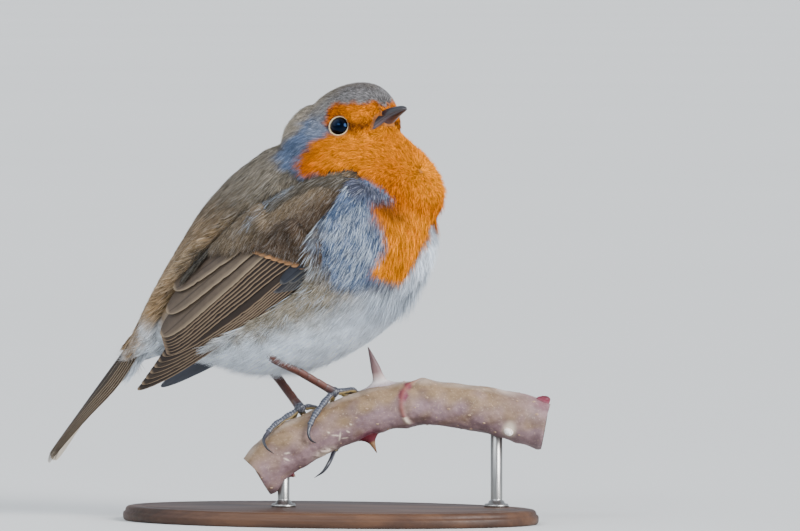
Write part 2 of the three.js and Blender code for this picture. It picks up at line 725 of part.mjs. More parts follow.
// Each toe runs by stations of [along the perch, turn round it, lift of its middle over the bark].
// Its claw goes on from its end.
const LEGS = {
  right: {
    ankle: [-12.4, -13.6, 45.4],
    joint: { along: 4.2, turn: 82, lift: 2.4 },
    toes: {
      hind: {
        path: [[2.4, 74, 1.8], [0.2, 58, 1.25], [-2.2, 40, 1.2], [-4.4, 22, 1.25]],
        claw: [[-5.3, 8, 1.7], [-5.4, -5, 1.7], [-4.5, -18, 0.7]],
      },
      inner: {
        path: [[3.6, 100, 1.6], [2.8, 124, 1.2], [2.3, 148, 1.2], [2.1, 166, 1.25]],
        claw: [[2.0, 178, 1.9], [1.9, 192, 1.9], [1.8, 206, 0.7]],
      },
      middle: {
        path: [[6.6, 92, 1.6], [8.8, 112, 1.2], [8.2, 150, 1.2], [3.6, 204, 1.2], [-2.0, 244, 1.3]],
        claw: [[-3.8, 264, 2.3], [-6.2, 271, 3.7], [-9.2, 271, 4.2]],
      },
      outer: {
        path: [[5.6, 96, 1.5], [6.8, 116, 1.2], [10.2, 136, 1.2], [12.4, 152, 1.25]],
        claw: [[13.2, 164, 1.9], [13.6, 178, 1.9], [13.4, 192, 0.7]],
      },
    },
  },
  left: {
    ankle: [-22.8, 11.6, 43.8],
    joint: { along: -4.6, turn: 86, lift: 1.9 },
    toes: {
      hind: {
        path: [[-6.8, 84, 1.4], [-9.4, 78, 1.2], [-11.4, 70, 1.2], [-13.2, 58, 1.25]],
        claw: [[-14.2, 44, 1.9], [-14.6, 26, 1.9], [-14.4, 8, 0.7]],
      },
      inner: {
        path: [[-6.0, 100, 1.4], [-7.4, 124, 1.2], [-8.6, 148, 1.2], [-9.2, 166, 1.25]],
        claw: [[-9.4, 178, 1.9], [-9.4, 192, 1.9], [-9.2, 206, 0.7]],
      },
      middle: {
        path: [[-4.8, 104, 1.4], [-4.6, 132, 1.2], [-4.4, 162, 1.2], [-4.2, 192, 1.25]],
        claw: [[-4.3, 206, 2.1], [-4.5, 222, 2.2], [-4.8, 238, 1.0]],
      },
      outer: {
        path: [[-3.4, 98, 1.4], [-2.2, 112, 1.2], [-1.4, 130, 1.2], [-1.1, 150, 1.25]],
        claw: [[-1.0, 162, 1.9], [-1.0, 176, 1.9], [-1.2, 190, 0.7]],
      },
    },
  },
};

// How a toe swells over each of its pads and tapers to its end.
const pads = (share) => 0.86 + 0.1 * Math.cos(share * 6 * Math.PI) - 0.16 * share;

function buildLeg(side, { ankle, joint, toes }) {
  const foot = byStem(joint.along, joint.turn, joint.lift);
  const top = new THREE.Vector3(...ankle);
  const lean = foot.clone().sub(top).normalize();
  const across = new THREE.Vector3().crossVectors(lean, new THREE.Vector3(0, 1, 0)).normalize();
  const knee = top.clone().add(new THREE.Vector3(1.5, side === "right" ? 4.5 : -4.5, 4.5));
  const shank = tube(
    [knee, top, top.clone().lerp(foot, 0.5), foot, foot.clone().addScaledVector(lean, 0.5)],
    (share) => {
      const ends = SHANK.swell - 1;
      const atAnkle = Math.exp(-(((share - 0.1) / 0.1) ** 2));
      const atFoot = 0.8 * Math.exp(-(((share - 1) / 0.08) ** 2));
      const swell = 1 + ends * (atAnkle + atFoot);
      return [SHANK.fore * swell, SHANK.side * swell];
    },
    across,
    9,
    8,
  );
  const parts = [solid(shank), solid(new THREE.SphereGeometry(1.45, 8, 6).translate(...foot.toArray()))];
  const claws = [];
  for (const [digit, { path, claw }] of Object.entries(toes)) {
    const points = path.map((station) => byStem(...station));
    const clawPoints = [points.at(-1), ...claw.map((station) => byStem(...station))];
    const reach = digit === "hind" ? 1.05 : 0.95;
    const toeSize = (share) => [reach * pads(share), reach * 0.95 * pads(share)];
    const clawSize = (share) => [0.62 * (1 - share) + 0.08, 0.74 * (1 - share) + 0.08];
    parts.push(solid(tube([foot, ...points], toeSize, perchAcross, 8, 6)));
    const hook = tube(clawPoints, clawSize, perchAcross, 6, 6);
    claws.push([`claw_${side}_${digit}`, solid(hook), points.at(-1)]);
  }
  const stemRoom = solid(stem(GAP));
  const bodyRoom = solid(torsoSkin(GAP));
  const leg = cut(join(parts), stemRoom, bodyRoom);
  addNode(`leg_${side}`, leg, MATERIALS.leg);
  for (const [name, hook, end] of claws) {
    const toeEnd = solid(new THREE.SphereGeometry(1.15, 7, 5).translate(...end.toArray()));
    addNode(name, cut(hook, toeEnd, stemRoom), MATERIALS.horn);
  }
}

// ---------- put together ----------

buildHead();
const headRoom = solid(headSkin(GAP).applyMatrix4(headFrame.matrixWorld));
const neckRoom = solid(neckSkin(GAP));
const faceRoom = [-1, 1]
  .flatMap((side) => [eyeBall(side, GAP + 0.2), lids(side, GAP)])
  .concat(billHalf(true, GAP), billHalf(false, GAP))
  .map((piece) => solid(piece.applyMatrix4(headFrame.matrixWorld)));
addNode("neck", cut(solid(neckSkin()), headRoom, ...faceRoom), MATERIALS.orangeFeather);
const bed = solid(wingBed());
const otherBed = bed.mirror([0, 1, 0]);
const socket = solid(tailBody(TAIL_ROOM, 5));
addNode("torso", cut(solid(torsoSkin()), headRoom, neckRoom, bed, otherBed, socket), MATERIALS.paleFeather);
buildWings();
buildTail();
buildStand();
for (const [side, plan] of Object.entries(LEGS)) buildLeg(side, plan);

export default robin;
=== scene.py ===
import math

import bpy
import numpy as np
from mathutils import Matrix, Vector
from mathutils.kdtree import KDTree


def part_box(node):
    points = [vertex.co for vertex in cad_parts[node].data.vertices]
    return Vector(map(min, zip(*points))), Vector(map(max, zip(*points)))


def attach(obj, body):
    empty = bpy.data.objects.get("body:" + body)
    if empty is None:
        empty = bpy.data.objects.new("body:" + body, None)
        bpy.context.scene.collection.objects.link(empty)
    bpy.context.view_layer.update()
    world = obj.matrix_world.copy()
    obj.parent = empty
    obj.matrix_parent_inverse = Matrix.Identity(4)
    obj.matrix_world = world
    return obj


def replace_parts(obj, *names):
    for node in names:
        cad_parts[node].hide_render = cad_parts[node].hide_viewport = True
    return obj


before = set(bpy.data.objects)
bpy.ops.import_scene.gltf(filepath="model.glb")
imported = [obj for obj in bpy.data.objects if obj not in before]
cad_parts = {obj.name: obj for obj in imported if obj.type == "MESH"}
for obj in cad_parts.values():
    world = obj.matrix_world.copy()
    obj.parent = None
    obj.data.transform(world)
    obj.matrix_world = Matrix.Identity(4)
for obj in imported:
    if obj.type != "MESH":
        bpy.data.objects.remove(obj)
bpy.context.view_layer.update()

# The robin stands on a cut length of rose stem, and two rods hold the stem over an oval base.
# Lengths below are millimetres and become metres as each mesh is made. The bird faces +X.

# ---------- Studio ----------
# A plain pale floor that runs out of sight, one broad soft key light from the upper left,
# a low fill and an even pale sky. The camera stands on the bird's right, almost level with it.

MM = 0.001
CAMERA = {"turn": 17.0, "rise": 1.8, "distance": 3000.0, "across": 216.2, "aim": (18.9, 69.4)}
SKY, SKY_STRENGTH = (0.80, 0.87, 0.97), 0.85
FLOOR_REACH = 80000.0
LIT_MIDDLE = Vector((0.0, 0.0, 0.075))


def paint(code, alpha=1.0):
    """A six-figure colour code as linear RGBA."""
    parts = [int(code[i : i + 2], 16) / 255 for i in (0, 2, 4)]
    linear = [p / 12.92 if p <= 0.04045 else ((p + 0.055) / 1.055) ** 2.4 for p in parts]
    return (*linear, alpha)


def node(tree, kind, *values, name_values=None, **settings):
    """Adds a shader node. Values fill its inputs in order, None skips one, and a socket is linked."""
    made = tree.nodes.new("ShaderNode" + kind)
    for key, value in settings.items():
        setattr(made, key, value)
    pairs = list(zip(made.inputs, values)) + [(made.inputs[k], v) for k, v in (name_values or {}).items()]
    for socket, value in pairs:
        if isinstance(value, bpy.types.NodeSocket):
            tree.links.new(value, socket)
        elif value is not None:
            socket.default_value = value
    return made


def mixed(tree, share, a, b, mode="MIX"):
    """Colour a with b laid over it by share."""
    a, b = (paint(code) if isinstance(code, str) else code for code in (a, b))
    made = node(tree, "Mix", data_type="RGBA", blend_type=mode)
    for index, value in ((0, share), (6, a), (7, b)):
        if isinstance(value, bpy.types.NodeSocket):
            tree.links.new(value, made.inputs[index])
        else:
            made.inputs[index].default_value = value
    return made.outputs[2]


def feed(shader, signal, socket="Base Color"):
    """Lets a signal set one of a shader's inputs."""
    shader.id_data.links.new(signal, shader.inputs[socket])


def noise(tree, size, detail=3.0, stretch=(1, 1, 1), where=None, rough=0.5):
    """Noise whose features are about size millimetres, on object coordinates or on a given vector."""
    place = where or node(tree, "TexCoord").outputs["Object"]
    scaled = node(tree, "Mapping", place, None, None, tuple(s / (size * MM) for s in stretch))
    return node(tree, "TexNoise", scaled.outputs[0], None, 1.0, detail, rough).outputs[0]


def new_material(name, roughness, **values):
    """A material with its Principled shader; values name the shader's inputs, with _ for a space."""
    made = bpy.data.materials.new(name)
    made.use_nodes = True
    shader = made.node_tree.nodes["Principled BSDF"]
    shader.inputs["Roughness"].default_value = roughness
    for key, value in values.items():
        shader.inputs[key.replace("_", " ")].default_value = value
    return made, made.node_tree, shader


def new_piece(name, points, faces, material, attributes=None):
    """A mesh piece from points in millimetres and face arrays, with float or vector attributes."""
    points = np.asarray(points, dtype=float)
    groups = [np.asarray(group, dtype=np.int32) for group in faces if len(group)]
    sizes = np.concatenate([np.full(len(group), group.shape[1]) for group in groups])
    corners = np.concatenate([group.ravel() for group in groups])
    mesh = bpy.data.meshes.new(name)
    mesh.vertices.add(len(points))
    mesh.vertices.foreach_set("co", (points * MM).astype(np.float32).ravel())
    mesh.loops.add(len(corners))
    mesh.loops.foreach_set("vertex_index", corners)
    mesh.polygons.add(len(sizes))
    mesh.polygons.foreach_set("loop_start", np.concatenate([[0], np.cumsum(sizes)[:-1]]).astype(np.int32))
    mesh.polygons.foreach_set("use_smooth", np.full(len(sizes), True))
    mesh.update(calc_edges=True)
    for key, values in (attributes or {}).items():
        values = np.asarray(values, dtype=np.float32)
        kind, field = ("FLOAT", "value") if values.ndim == 1 else ("FLOAT_VECTOR", "vector")
        mesh.attributes.new(key, kind, "POINT").data.foreach_set(field, values.ravel())
    mesh.materials.append(material)
    made = bpy.data.objects.new(name, mesh)
    bpy.context.scene.collection.objects.link(made)
    return made


def place_light(name, kind, energy, towards, colour, **settings):
    """A light that shines from a direction round the bird's middle."""
    lamp = bpy.data.lights.new(name, kind)
    lamp.energy, lamp.color = energy, colour
    for key, value in settings.items():
        setattr(lamp, key, value)
    holder = bpy.data.objects.new(name, lamp)
    holder.location = Vector(towards)
    holder.rotation_mode = "QUATERNION"
    holder.rotation_quaternion = (LIT_MIDDLE - holder.location).to_track_quat("-Z", "Y")
    bpy.context.scene.collection.objects.link(holder)


turn, rise = math.radians(CAMERA["turn"]), math.radians(CAMERA["rise"])
to_camera = Vector((math.sin(turn) * math.cos(rise), -math.cos(turn) * math.cos(rise), math.sin(rise)))
aim_across, aim_height = CAMERA["aim"]
aim = Vector((math.cos(turn), math.sin(turn), 0)) * aim_across + Vector((0, 0, aim_height))
lens = bpy.data.cameras.new("camera")
lens.sensor_width = 36.0
lens.lens = lens.sensor_width * CAMERA["distance"] / CAMERA["across"]
lens.clip_end = 200.0
camera = bpy.data.objects.new("camera", lens)
camera.location = (aim + to_camera * CAMERA["distance"]) * MM
camera.rotation_mode = "QUATERNION"
camera.rotation_quaternion = to_camera.to_track_quat("Z", "Y")
bpy.context.scene.collection.objects.link(camera)
bpy.context.scene.camera = camera

sky = bpy.data.worlds.new("sky")
sky.use_nodes = True
sky.node_tree.nodes["Background"].inputs[0].default_value = (*SKY, 1.0)
sky.node_tree.nodes["Background"].inputs[1].default_value = SKY_STRENGTH
bpy.context.scene.world = sky
place_light("key", "SUN", 5.1, (1.12, -0.56, 0.64), (0.98, 0.98, 1.0), angle=math.radians(32))
place_light("fill", "SUN", 1.1, (-0.8, -0.6, 1.0), (0.86, 0.92, 1.0), angle=math.radians(60))
place_light(
    "window", "AREA", 1.7, (-0.12, -0.62, 0.52), (0.90, 0.95, 1.0),
    shape="RECTANGLE", size=0.34, size_y=0.22
)

floor_paint, tree, shader = new_material("floor_paint", 0.85, Specular_IOR_Level=0.2)
feed(shader, mixed(tree, noise(tree, 900.0, 2.0), "d9d9d6", "dfdfdc"))
corners = [(x * FLOOR_REACH, y * FLOOR_REACH, 0) for x, y in ((-1, -1), (1, -1), (1, 1), (-1, 1))]
floor = new_piece("floor", corners, [[(0, 1, 2, 3)]], floor_paint)

# ---------- Stand base ----------
# An oval plinth turned from dark wood, with a rounded edge and one shallow groove near its rim.
# It is oiled, not varnished, and carries two blind holes for the rods.

BASE = {"half_length": 58.0, "half_width": 33.0, "thickness": 4.0}
# Edge profile from the underside's rim to the flat top: inset from the widest outline, and height.
BASE_PROFILE = [
    (2.4, 0.0), (0.9, 0.0), (0.45, 0.12), (0.1, 0.5), (0.0, 1.0), (0.0, 1.9), (0.12, 2.3), (0.5, 2.55),
    (0.62, 2.7), (0.66, 3.0), (0.86, 3.5), (1.3, 3.86), (2.0, 4.0), (5.0, 4.0), (5.25, 3.94), (5.5, 3.76),
    (5.75, 3.94), (6.0, 4.0), (12.0, 4.0), (22.0, 4.0),
]


def ramp(tree, share, stops):
    """A colour ramp: stops of a place and a six-figure code."""
    made = node(tree, "ValToRGB", share)
    bar = made.color_ramp.elements
    while len(bar) < len(stops):
        bar.new(1.0)
    for element, (place, code) in zip(bar, stops):
        element.position, element.color = place, paint(code)
    return made.outputs[0]


def math_node(tree, operation, *values):
    """The result of one sum on signals or numbers."""
    return node(tree, "Math", *values, operation=operation).outputs[0]


def remapped(tree, value, *limits):
    """A value brought from one range to another: from low, from high, to low, to high."""
    return node(tree, "MapRange", value, *limits).outputs[0]


def bump(tree, shader, height, strength, depth):
    """Raises the surface by a height signal; depth is in millimetres."""
    made = node(tree, "Bump", name_values={"Strength": strength, "Distance": depth * MM, "Height": height})
    feed(shader, made.outputs[0], "Normal")


def circle(around):
    """Turns in radians that part a circle evenly."""
    return np.arange(around) / around * 2 * math.pi


def bridged(rings):
    """Quads between neighbouring rings of points that were listed ring after ring."""
    count, around = rings
    ring, step = np.meshgrid(np.arange(count - 1), np.arange(around), indexing="ij")
    a = (ring * around + step).ravel()
    b = (ring * around + (step + 1) % around).ravel()
    return np.stack([a, b, b + around, a + around], axis=1)


def capped(rings, first, last):
    """Fans that close the two ends of a stack of rings, round the points numbered first and last."""
    count, around = rings
    step = np.arange(around)
    after = (step + 1) % around
    top = (count - 1) * around
    start = np.stack([np.full(around, first), after, step], axis=1)
    end = np.stack([np.full(around, last), top + step, top + after], axis=1)
    return np.concatenate([start, end])


def facing_out(points, quads, fans):
    """The faces of a closed form, turned over if they face inwards."""
    a, b, c, d = (points[quads[:, k]] - points[0] for k in range(4))
    e, f, g = (points[fans[:, k]] - points[0] for k in range(3))
    volume = (a * (np.cross(b, c) + np.cross(c, d))).sum() + (e * np.cross(f, g)).sum()
    return (quads, fans) if volume > 0 else (quads[:, ::-1], fans[:, ::-1])


def closed_sleeve(points):
    """Points, quads and triangles of a stack of rings that is closed by a fan at each end."""
    stack = points.shape[:2]
    flat = np.concatenate([points.reshape(-1, 3), points[:1].mean(axis=1), points[-1:].mean(axis=1)])
    return flat, *facing_out(flat, bridged(stack), capped(stack, len(flat) - 2, len(flat) - 1))


def turned(rows, around):
    """A closed form turned on an upright axis, from rows of reach along, reach across and height."""
    spin = circle(around)
    rings = [np.stack([a * np.cos(spin), b * np.sin(spin), np.full(around, z)], axis=1) for a, b, z in rows]
    return closed_sleeve(np.array(rings))


points, *faces = turned(
    [(BASE["half_length"] - inset, BASE["half_width"] - inset, z) for inset, z in BASE_PROFILE], 160
)
stand_wood, tree, shader = new_material("stand_wood", 0.46, Specular_IOR_Level=0.35)
grain = noise(tree, 9.0, 5.0, stretch=(0.12, 1.0, 1.0), rough=0.6)
fibre = noise(tree, 0.9, 3.0, stretch=(0.05, 1.0, 1.0))
warm = ramp(tree, grain, [(0.28, "2c1c13"), (0.5, "4a3021"), (0.72, "6a4932")])
feed(shader, mixed(tree, math_node(tree, "MULTIPLY", fibre, 0.45), warm, "22150e"))
feed(shader, remapped(tree, fibre, 0.2, 0.8, 0.4, 0.6), "Roughness")
bump(tree, shader, fibre, 0.25, 0.12)
base = new_piece("stand_plinth", points, faces, stand_wood)
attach(base, "root")
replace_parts(base, "stand_base")

# ---------- Rods ----------
# Two straight rods of brushed steel stand in the plinth, each in a thin turned collar,
# and go a little way into drilled holes in the underside of the stem.

ROD_RADIUS = 1.6
ROD_COLLAR = [(3.3, 4.0), (3.3, 4.5), (3.1, 4.85), (2.3, 5.0), (2.05, 5.6), (1.62, 5.8)]
rod_steel, tree, shader = new_material("rod_steel", 0.32, Metallic=1.0)
brush = noise(tree, 0.12, 2.0, stretch=(1.0, 1.0, 0.02))
feed(shader, ramp(tree, brush, [(0.3, "8d8c89"), (0.7, "b5b4b0")]))
feed(shader, remapped(tree, brush, 0.2, 0.8, 0.26, 0.42), "Roughness")
bump(tree, shader, brush, 0.15, 0.02)
for rod in ("stand_rod_rear", "stand_rod_front"):
    low, high = (np.array(corner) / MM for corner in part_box(rod))
    middle = (low + high) / 2
    profile = [(ROD_RADIUS - 0.2, low[2]), (ROD_RADIUS, low[2] + 0.2), (ROD_RADIUS, 3.9)]
    profile += ROD_COLLAR + [(ROD_RADIUS, 6.2), (ROD_RADIUS, high[2] - 0.2), (ROD_RADIUS - 0.2, high[2])]
    points, *faces = turned([(radius, radius, z) for radius, z in profile], 40)
    piece = new_piece(rod.replace("rod", "post"), points + (middle[0], middle[1], 0), faces, rod_steel)
    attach(piece, "root")
    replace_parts(piece, rod)

# ---------- Perch ----------
# A cut length of living rose stem: smooth tan bark with a mauve underside, a leaf scar, buds and
# curved thorns. Both ends are sawn across, and the rods hold it from below.

PERCH_TURN = math.radians(17)
PERCH_OFFSET = 2.0
# Along the stem: distance in its upright plane, height of the centre line, radius.
PERCH = [
    (-19, 12.4, 6.3), (-14, 18.2, 6.4), (-4.9, 23.3, 6.3), (6.7, 28.2, 6.2), (13.7, 30.7, 6.1),
    (20.3, 31.8, 6.0), (29.7, 31.9, 6.0), (40.5, 30.5, 6.2), (50.0, 28.4, 6.4), (58.0, 25.6, 6.5),
]
KNOTS = [-9.5, 12.5, 20.5, 52.0]
# Thorns and buds: place along the stem, turn round it, height, foot length, lean, and kind.
THORNS = [
    (15.0, 88, 10.8, 4.3, -0.7, "thorn"), (8.4, -86, 5.0, 4.1, 0.2, "dry"),
    (55.2, 84, 1.7, 2.2, 0.8, "bud"), (-14.8, -92, 1.9, 1.7, 0.3, "dry"),
    (49.2, -38, 1.5, 1.9, 0.4, "callus"),
]


def attribute(tree, name, output="Fac"):
    """One output of a piece's own attribute of that name."""
    return node(tree, "Attribute", attribute_name=name).outputs[output]


def unit(ways):
    """Ways made one millimetre long."""
    return ways / np.linalg.norm(ways, axis=-1, keepdims=True)


def hill(distance, width):
    """1 where a distance is 0, falling softly to 0 beyond a width."""
    return np.exp(-((distance / width) ** 2))


def read_rows(rows, key):
    """Values of a table at any keys, on the smooth curve through its rows."""
    rows = np.asarray(rows, dtype=float)
    key = np.asarray(key, dtype=float)
    place, value = rows[:, 0], rows[:, 1:]
    i = np.clip(np.searchsorted(place, key, side="left") - 1, 0, len(place) - 2)
    before, after = np.maximum(i - 1, 0), np.minimum(i + 2, len(place) - 1)
    span = (place[i + 1] - place[i])[..., None]
    t = np.clip((key - place[i]) / (place[i + 1] - place[i]), 0, 1)[..., None]
    slope_a = (value[i + 1] - value[before]) / (place[i + 1] - place[before])[..., None] * span
    slope_b = (value[after] - value[i]) / (place[after] - place[i])[..., None] * span
    level = (2 * t**3 - 3 * t**2 + 1) * value[i] + (3 * t**2 - 2 * t**3) * value[i + 1]
    return level + (t**3 - 2 * t**2 + t) * slope_a + (t**3 - t**2) * slope_b


def columns(rows, key):
    """The columns of a table read at any keys, each as an array of its own."""
    return np.moveaxis(read_rows(rows, key), -1, 0)


def ripple(points, size, seed, waves=14):
    """Smooth, seeded unevenness between about -1 and 1 with features of that size, at many points."""
    draw = np.random.default_rng(seed)
    way = unit(draw.normal(size=(waves, 3)))
    pace = draw.uniform(0.6, 1.7, waves) * 2 * math.pi / size
    phase = draw.uniform(0, 2 * math.pi, waves)
    return np.sin(np.asarray(points) @ (way * pace[:, None]).T + phase).sum(axis=1) / math.sqrt(waves) * 0.9


stem_across = np.array([math.cos(PERCH_TURN), math.sin(PERCH_TURN), 0.0])
stem_away = np.array([-math.sin(PERCH_TURN), math.cos(PERCH_TURN), 0.0])


def by_stem(along, turn, lift):
    """Points by the stem: distance along its plane, turn round it in degrees, and lift above its bark."""
    along, turn, lift = np.broadcast_arrays(*(np.asarray(v, dtype=float) for v in (along, turn, lift)))
    height, radius = columns(PERCH, along)
    slope = read_rows(PERCH, along + 0.5)[..., 0] - read_rows(PERCH, along - 0.5)[..., 0]
    tangent = unit(stem_across + slope[..., None] * np.array([0, 0, 1.0]))
    normal = np.cross(tangent, stem_away)
    normal *= np.sign(normal[..., 2:3])
    centre = along[..., None] * stem_across + PERCH_OFFSET * stem_away
    centre[..., 2] = height
    reach = (radius + lift)[..., None]
    angle = np.radians(turn)[..., None]
    return centre + normal * reach * np.sin(angle) - stem_away * reach * np.cos(angle)


def leaf_scar(turn):
    """Where the leaf scar's ridge crosses the stem at each turn round it."""
    return 19.2 + 4.6 * ((turn + 3) / 83) ** 2


count, around = 420, 132
along = np.linspace(PERCH[0][0], PERCH[-1][0], count)
turn = np.arange(around) / around * 360 - 180
along_grid, turn_grid = np.meshgrid(along, turn, indexing="ij")
flat = by_stem(along_grid, turn_grid, 0).reshape(-1, 3)
swell = sum(0.35 * hill(along_grid - knot, 2.2) for knot in KNOTS).ravel()
turns, places = turn_grid.ravel(), along_grid.ravel()
scar_ends = np.clip((turns + 62) / 18, 0, 1) * np.clip((92 - turns) / 18, 0, 1)
scar_line = hill(places - leaf_scar(turns), 0.7) * scar_ends
stretched = np.stack([places * 0.28, np.radians(turns) * 6.2, np.zeros_like(places)], axis=1)
lift = swell + 0.16 * ripple(flat, 9.0, 1) + 0.05 * ripple(flat, 2.6, 2) + 0.022 * ripple(stretched, 1.1, 3)
lift += 0.32 * scar_line - 0.16 * hill(places - leaf_scar(turns) - 1.1, 0.7) * scar_ends
lift += 0.85 * hill(places - 25.2, 1.9) * hill(turns - 86, 30)
# The bark curls up in dry scraps where the foot has scraped it.
peel = hill(places + 3.8, 2.6) * hill(turns + 62, 16)
lift += 0.3 * peel * np.clip(ripple(flat, 1.3, 4) * 2, 0, 1.6)
edge = np.minimum(places - PERCH[0][0], PERCH[-1][0] - places)
lift -= 0.5 * np.clip(1 - edge / 0.45, 0, 1) ** 2
bark_points = by_stem(places, turns, lift)


def patch(place, angle, long_size, round_size):
    """A soft spot on the bark."""
    apart = ((places - place) / long_size) ** 2 + ((turns - angle) / (round_size * 9.2)) ** 2
    return np.exp(-(apart**1.5))


crimson = (
    1.3 * patch(21.3, 52, 0.95, 1.4) + 1.4 * patch(20.0, 25, 1.25, 1.6) + 0.8 * patch(8.6, -62, 3.4, 1.7)
)
crimson += 0.65 * patch(55.4, 66, 2.6, 2.4) + 0.5 * patch(51.5, 80, 2.4, 1.4)
scratches = sum(
    hill((places - p) * c + np.radians(turns - a) * 6.2 * s, 0.16)
    * np.exp(-((((np.radians(turns - a) * 6.2 * c - (places - p) * s)) / size) ** 4))
    for p, a, c, s, size in (
        (0.6, -22, 0.5, 0.86, 1.0), (1.5, -30, 0.9, -0.43, 1.3), (2.6, -40, 0.35, 0.94, 0.9),
        (3.9, -25, 0.8, 0.6, 0.5), (-0.7, -8, 0.7, 0.7, 0.35), (5.2, -10, 0.7, 0.7, 0.3),
        (-13.0, -20, 0.9, 0.43, 0.8), (-12.0, -8, 0.4, 0.9, 0.6),
    )
)
pale = np.clip(scratches + 1.2 * patch(49.4, -36, 1.7, 2.2) + 0.9 * peel, 0, 1)
pale = np.maximum(pale, 0.9 * scar_line * (turns < -30))
marks = np.stack([np.clip(crimson, 0, 1), np.clip(scar_line * (turns > -45), 0, 1), pale], axis=1)

# Sawn ends: rings of points that step in to the pith.
end_points, end_faces, end_marks = [], [], []
for row, way in ((0, -1), (count - 1, 1)):
    rim = bark_points[row * around : (row + 1) * around]
    middle = rim.mean(axis=0)
    shares = np.array([1.0, 0.985, 0.93, 0.86, 0.78, 0.7, 0.6, 0.5, 0.4, 0.3, 0.22, 0.16, 0.1, 0.04])
    ring_points = middle + (rim - middle) * shares[:, None, None]
    slope = bark_points[(row - way) * around : (row - way + 1) * around].mean(axis=0) - middle
    outward = unit(-slope)
    saw = 0.05 * ripple(ring_points.reshape(-1, 3) * (1, 1, 3), 0.9, 5).reshape(len(shares), around)
    bark_step = np.where(shares > 0.9, 0.12 * (shares - 0.9) / 0.1, 0.0)
    pith = np.where(shares < 0.2, -0.25, 0.0)
    ring_points = (
        ring_points + outward * ((saw * (shares < 0.99)[:, None]) + (bark_step + pith)[:, None])[..., None]
    )
    block = np.concatenate([ring_points.reshape(-1, 3), middle[None] + outward * -0.25])
    end_points.append(block)
    stack = (len(shares), around)
    quads, fan = bridged(stack), capped(stack, 0, len(block) - 1)[around:]
    end_faces.append((quads, fan) if way < 0 else (quads[:, ::-1], fan[:, ::-1]))
    end_marks.append(np.concatenate([np.repeat(shares, around), [0.0]]))

bark, tree, shader = new_material("bark", 0.62, Specular_IOR_Level=0.32)
place = node(tree, "TexCoord").outputs["Object"]
crimson_mark, scar_mark, pale_mark = node(tree, "SeparateXYZ", attribute(tree, "marks", "Vector")).outputs
under = attribute(tree, "under")
mottle = noise(tree, 3.2, 5.0, stretch=(0.5, 1, 1), where=place, rough=0.62)
fleck = noise(tree, 0.55, 4.0, where=place, rough=0.6)
tan = ramp(tree, mottle, [(0.26, "5f4a3a"), (0.46, "7b644b"), (0.6, "8d7459"), (0.78, "775e52")])
mauve = ramp(tree, mottle, [(0.3, "6b555e"), (0.6, "8b727b"), (0.8, "7c6872")])
bark_tone = mixed(tree, under, tan, mauve)
bark_tone = mixed(tree, remapped(tree, fleck, 0.55, 0.75, 0.0, 0.55), bark_tone, "7c5f49")
bark_tone = mixed(tree, remapped(tree, fleck, 0.42, 0.3, 0.0, 0.35), bark_tone, "cdb79c")
# A painted highlight: the bark is made paler along the top of the stem.
painted_top_highlight = attribute(tree, "painted_top_highlight")
bark_tone = mixed(tree, math_node(tree, "MULTIPLY", painted_top_highlight, 0.6), bark_tone, "e3d3c8")
patchy = remapped(tree, fleck, 0.3, 0.7, 0.65, 1.0)
bark_tone = mixed(tree, math_node(tree, "MULTIPLY", crimson_mark, patchy), bark_tone, "651638")
bark_tone = mixed(tree, math_node(tree, "MULTIPLY", scar_mark, 0.6), bark_tone, "84463f")
bark_tone = mixed(tree, pale_mark, bark_tone, "e4d3bf")
feed(shader, bark_tone)
feed(shader, remapped(tree, mottle, 0.3, 0.7, 0.5, 0.7), "Roughness")
fissure = noise(tree, 0.35, 4.0, stretch=(0.3, 1, 1), where=place)
bump(tree, shader, fissure, 0.35, 0.1)

turn_sin = np.sin(np.radians(turns))
under_share = np.clip(0.5 - turn_sin * 0.9 + 0.35 * ripple(flat, 7.0, 6), 0, 1)
under_share = np.maximum(
    under_share * 0.8, 0.75 * np.clip((places - 42) / 14, 0, 1) * np.clip(0.4 + turn_sin, 0, 1)
)
# Share of the painted highlight along the stem's top.
painted_top_highlight_share = np.clip((turn_sin - 0.75) * 3, 0, 1) * (0.6 + 0.4 * ripple(flat, 6.0, 7))
stem_faces = bridged((count, around))[:, ::-1]
stem_piece = new_piece(
    "perch_bark", bark_points, [stem_faces], bark,
    attributes={"marks": marks, "under": under_share, "painted_top_highlight": np.clip(painted_top_highlight_share, 0, 1)},
)

sawn_wood, tree, shader = new_material("sawn_wood", 0.8, Specular_IOR_Level=0.2)
radial = attribute(tree, "radial")
wobble = math_node(tree, "ADD", radial, math_node(tree, "MULTIPLY", noise(tree, 1.6, 2.0), 0.05))
growth = math_node(tree, "SINE", math_node(tree, "MULTIPLY", wobble, 46.0))
wood = mixed(tree, remapped(tree, growth, -1, 1, 0.0, 0.5), "e2d0ab", "b99b6f")
rays = noise(tree, 0.5, 3.0)
wood = mixed(tree, remapped(tree, rays, 0.5, 0.8, 0, 0.5), wood, "a98a5f")
pith_and_bark = [(0.0, "8a6d4a"), (0.17, "8a6d4a"), (0.2, "ffffff"), (0.9, "ffffff")]
layers = ramp(tree, radial, pith_and_bark + [(0.93, "7c8a4a"), (0.965, "6a5238")])
feed(shader, mixed(tree, 1.0, wood, layers, "MULTIPLY"))
bump(tree, shader, rays, 0.4, 0.12)
for number, (points, faces, radial_share) in enumerate(zip(end_points, end_faces, end_marks), 1):
    end = new_piece(f"perch_end_{number}", points, faces, sawn_wood, attributes={"radial": radial_share})
    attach(end, "root")

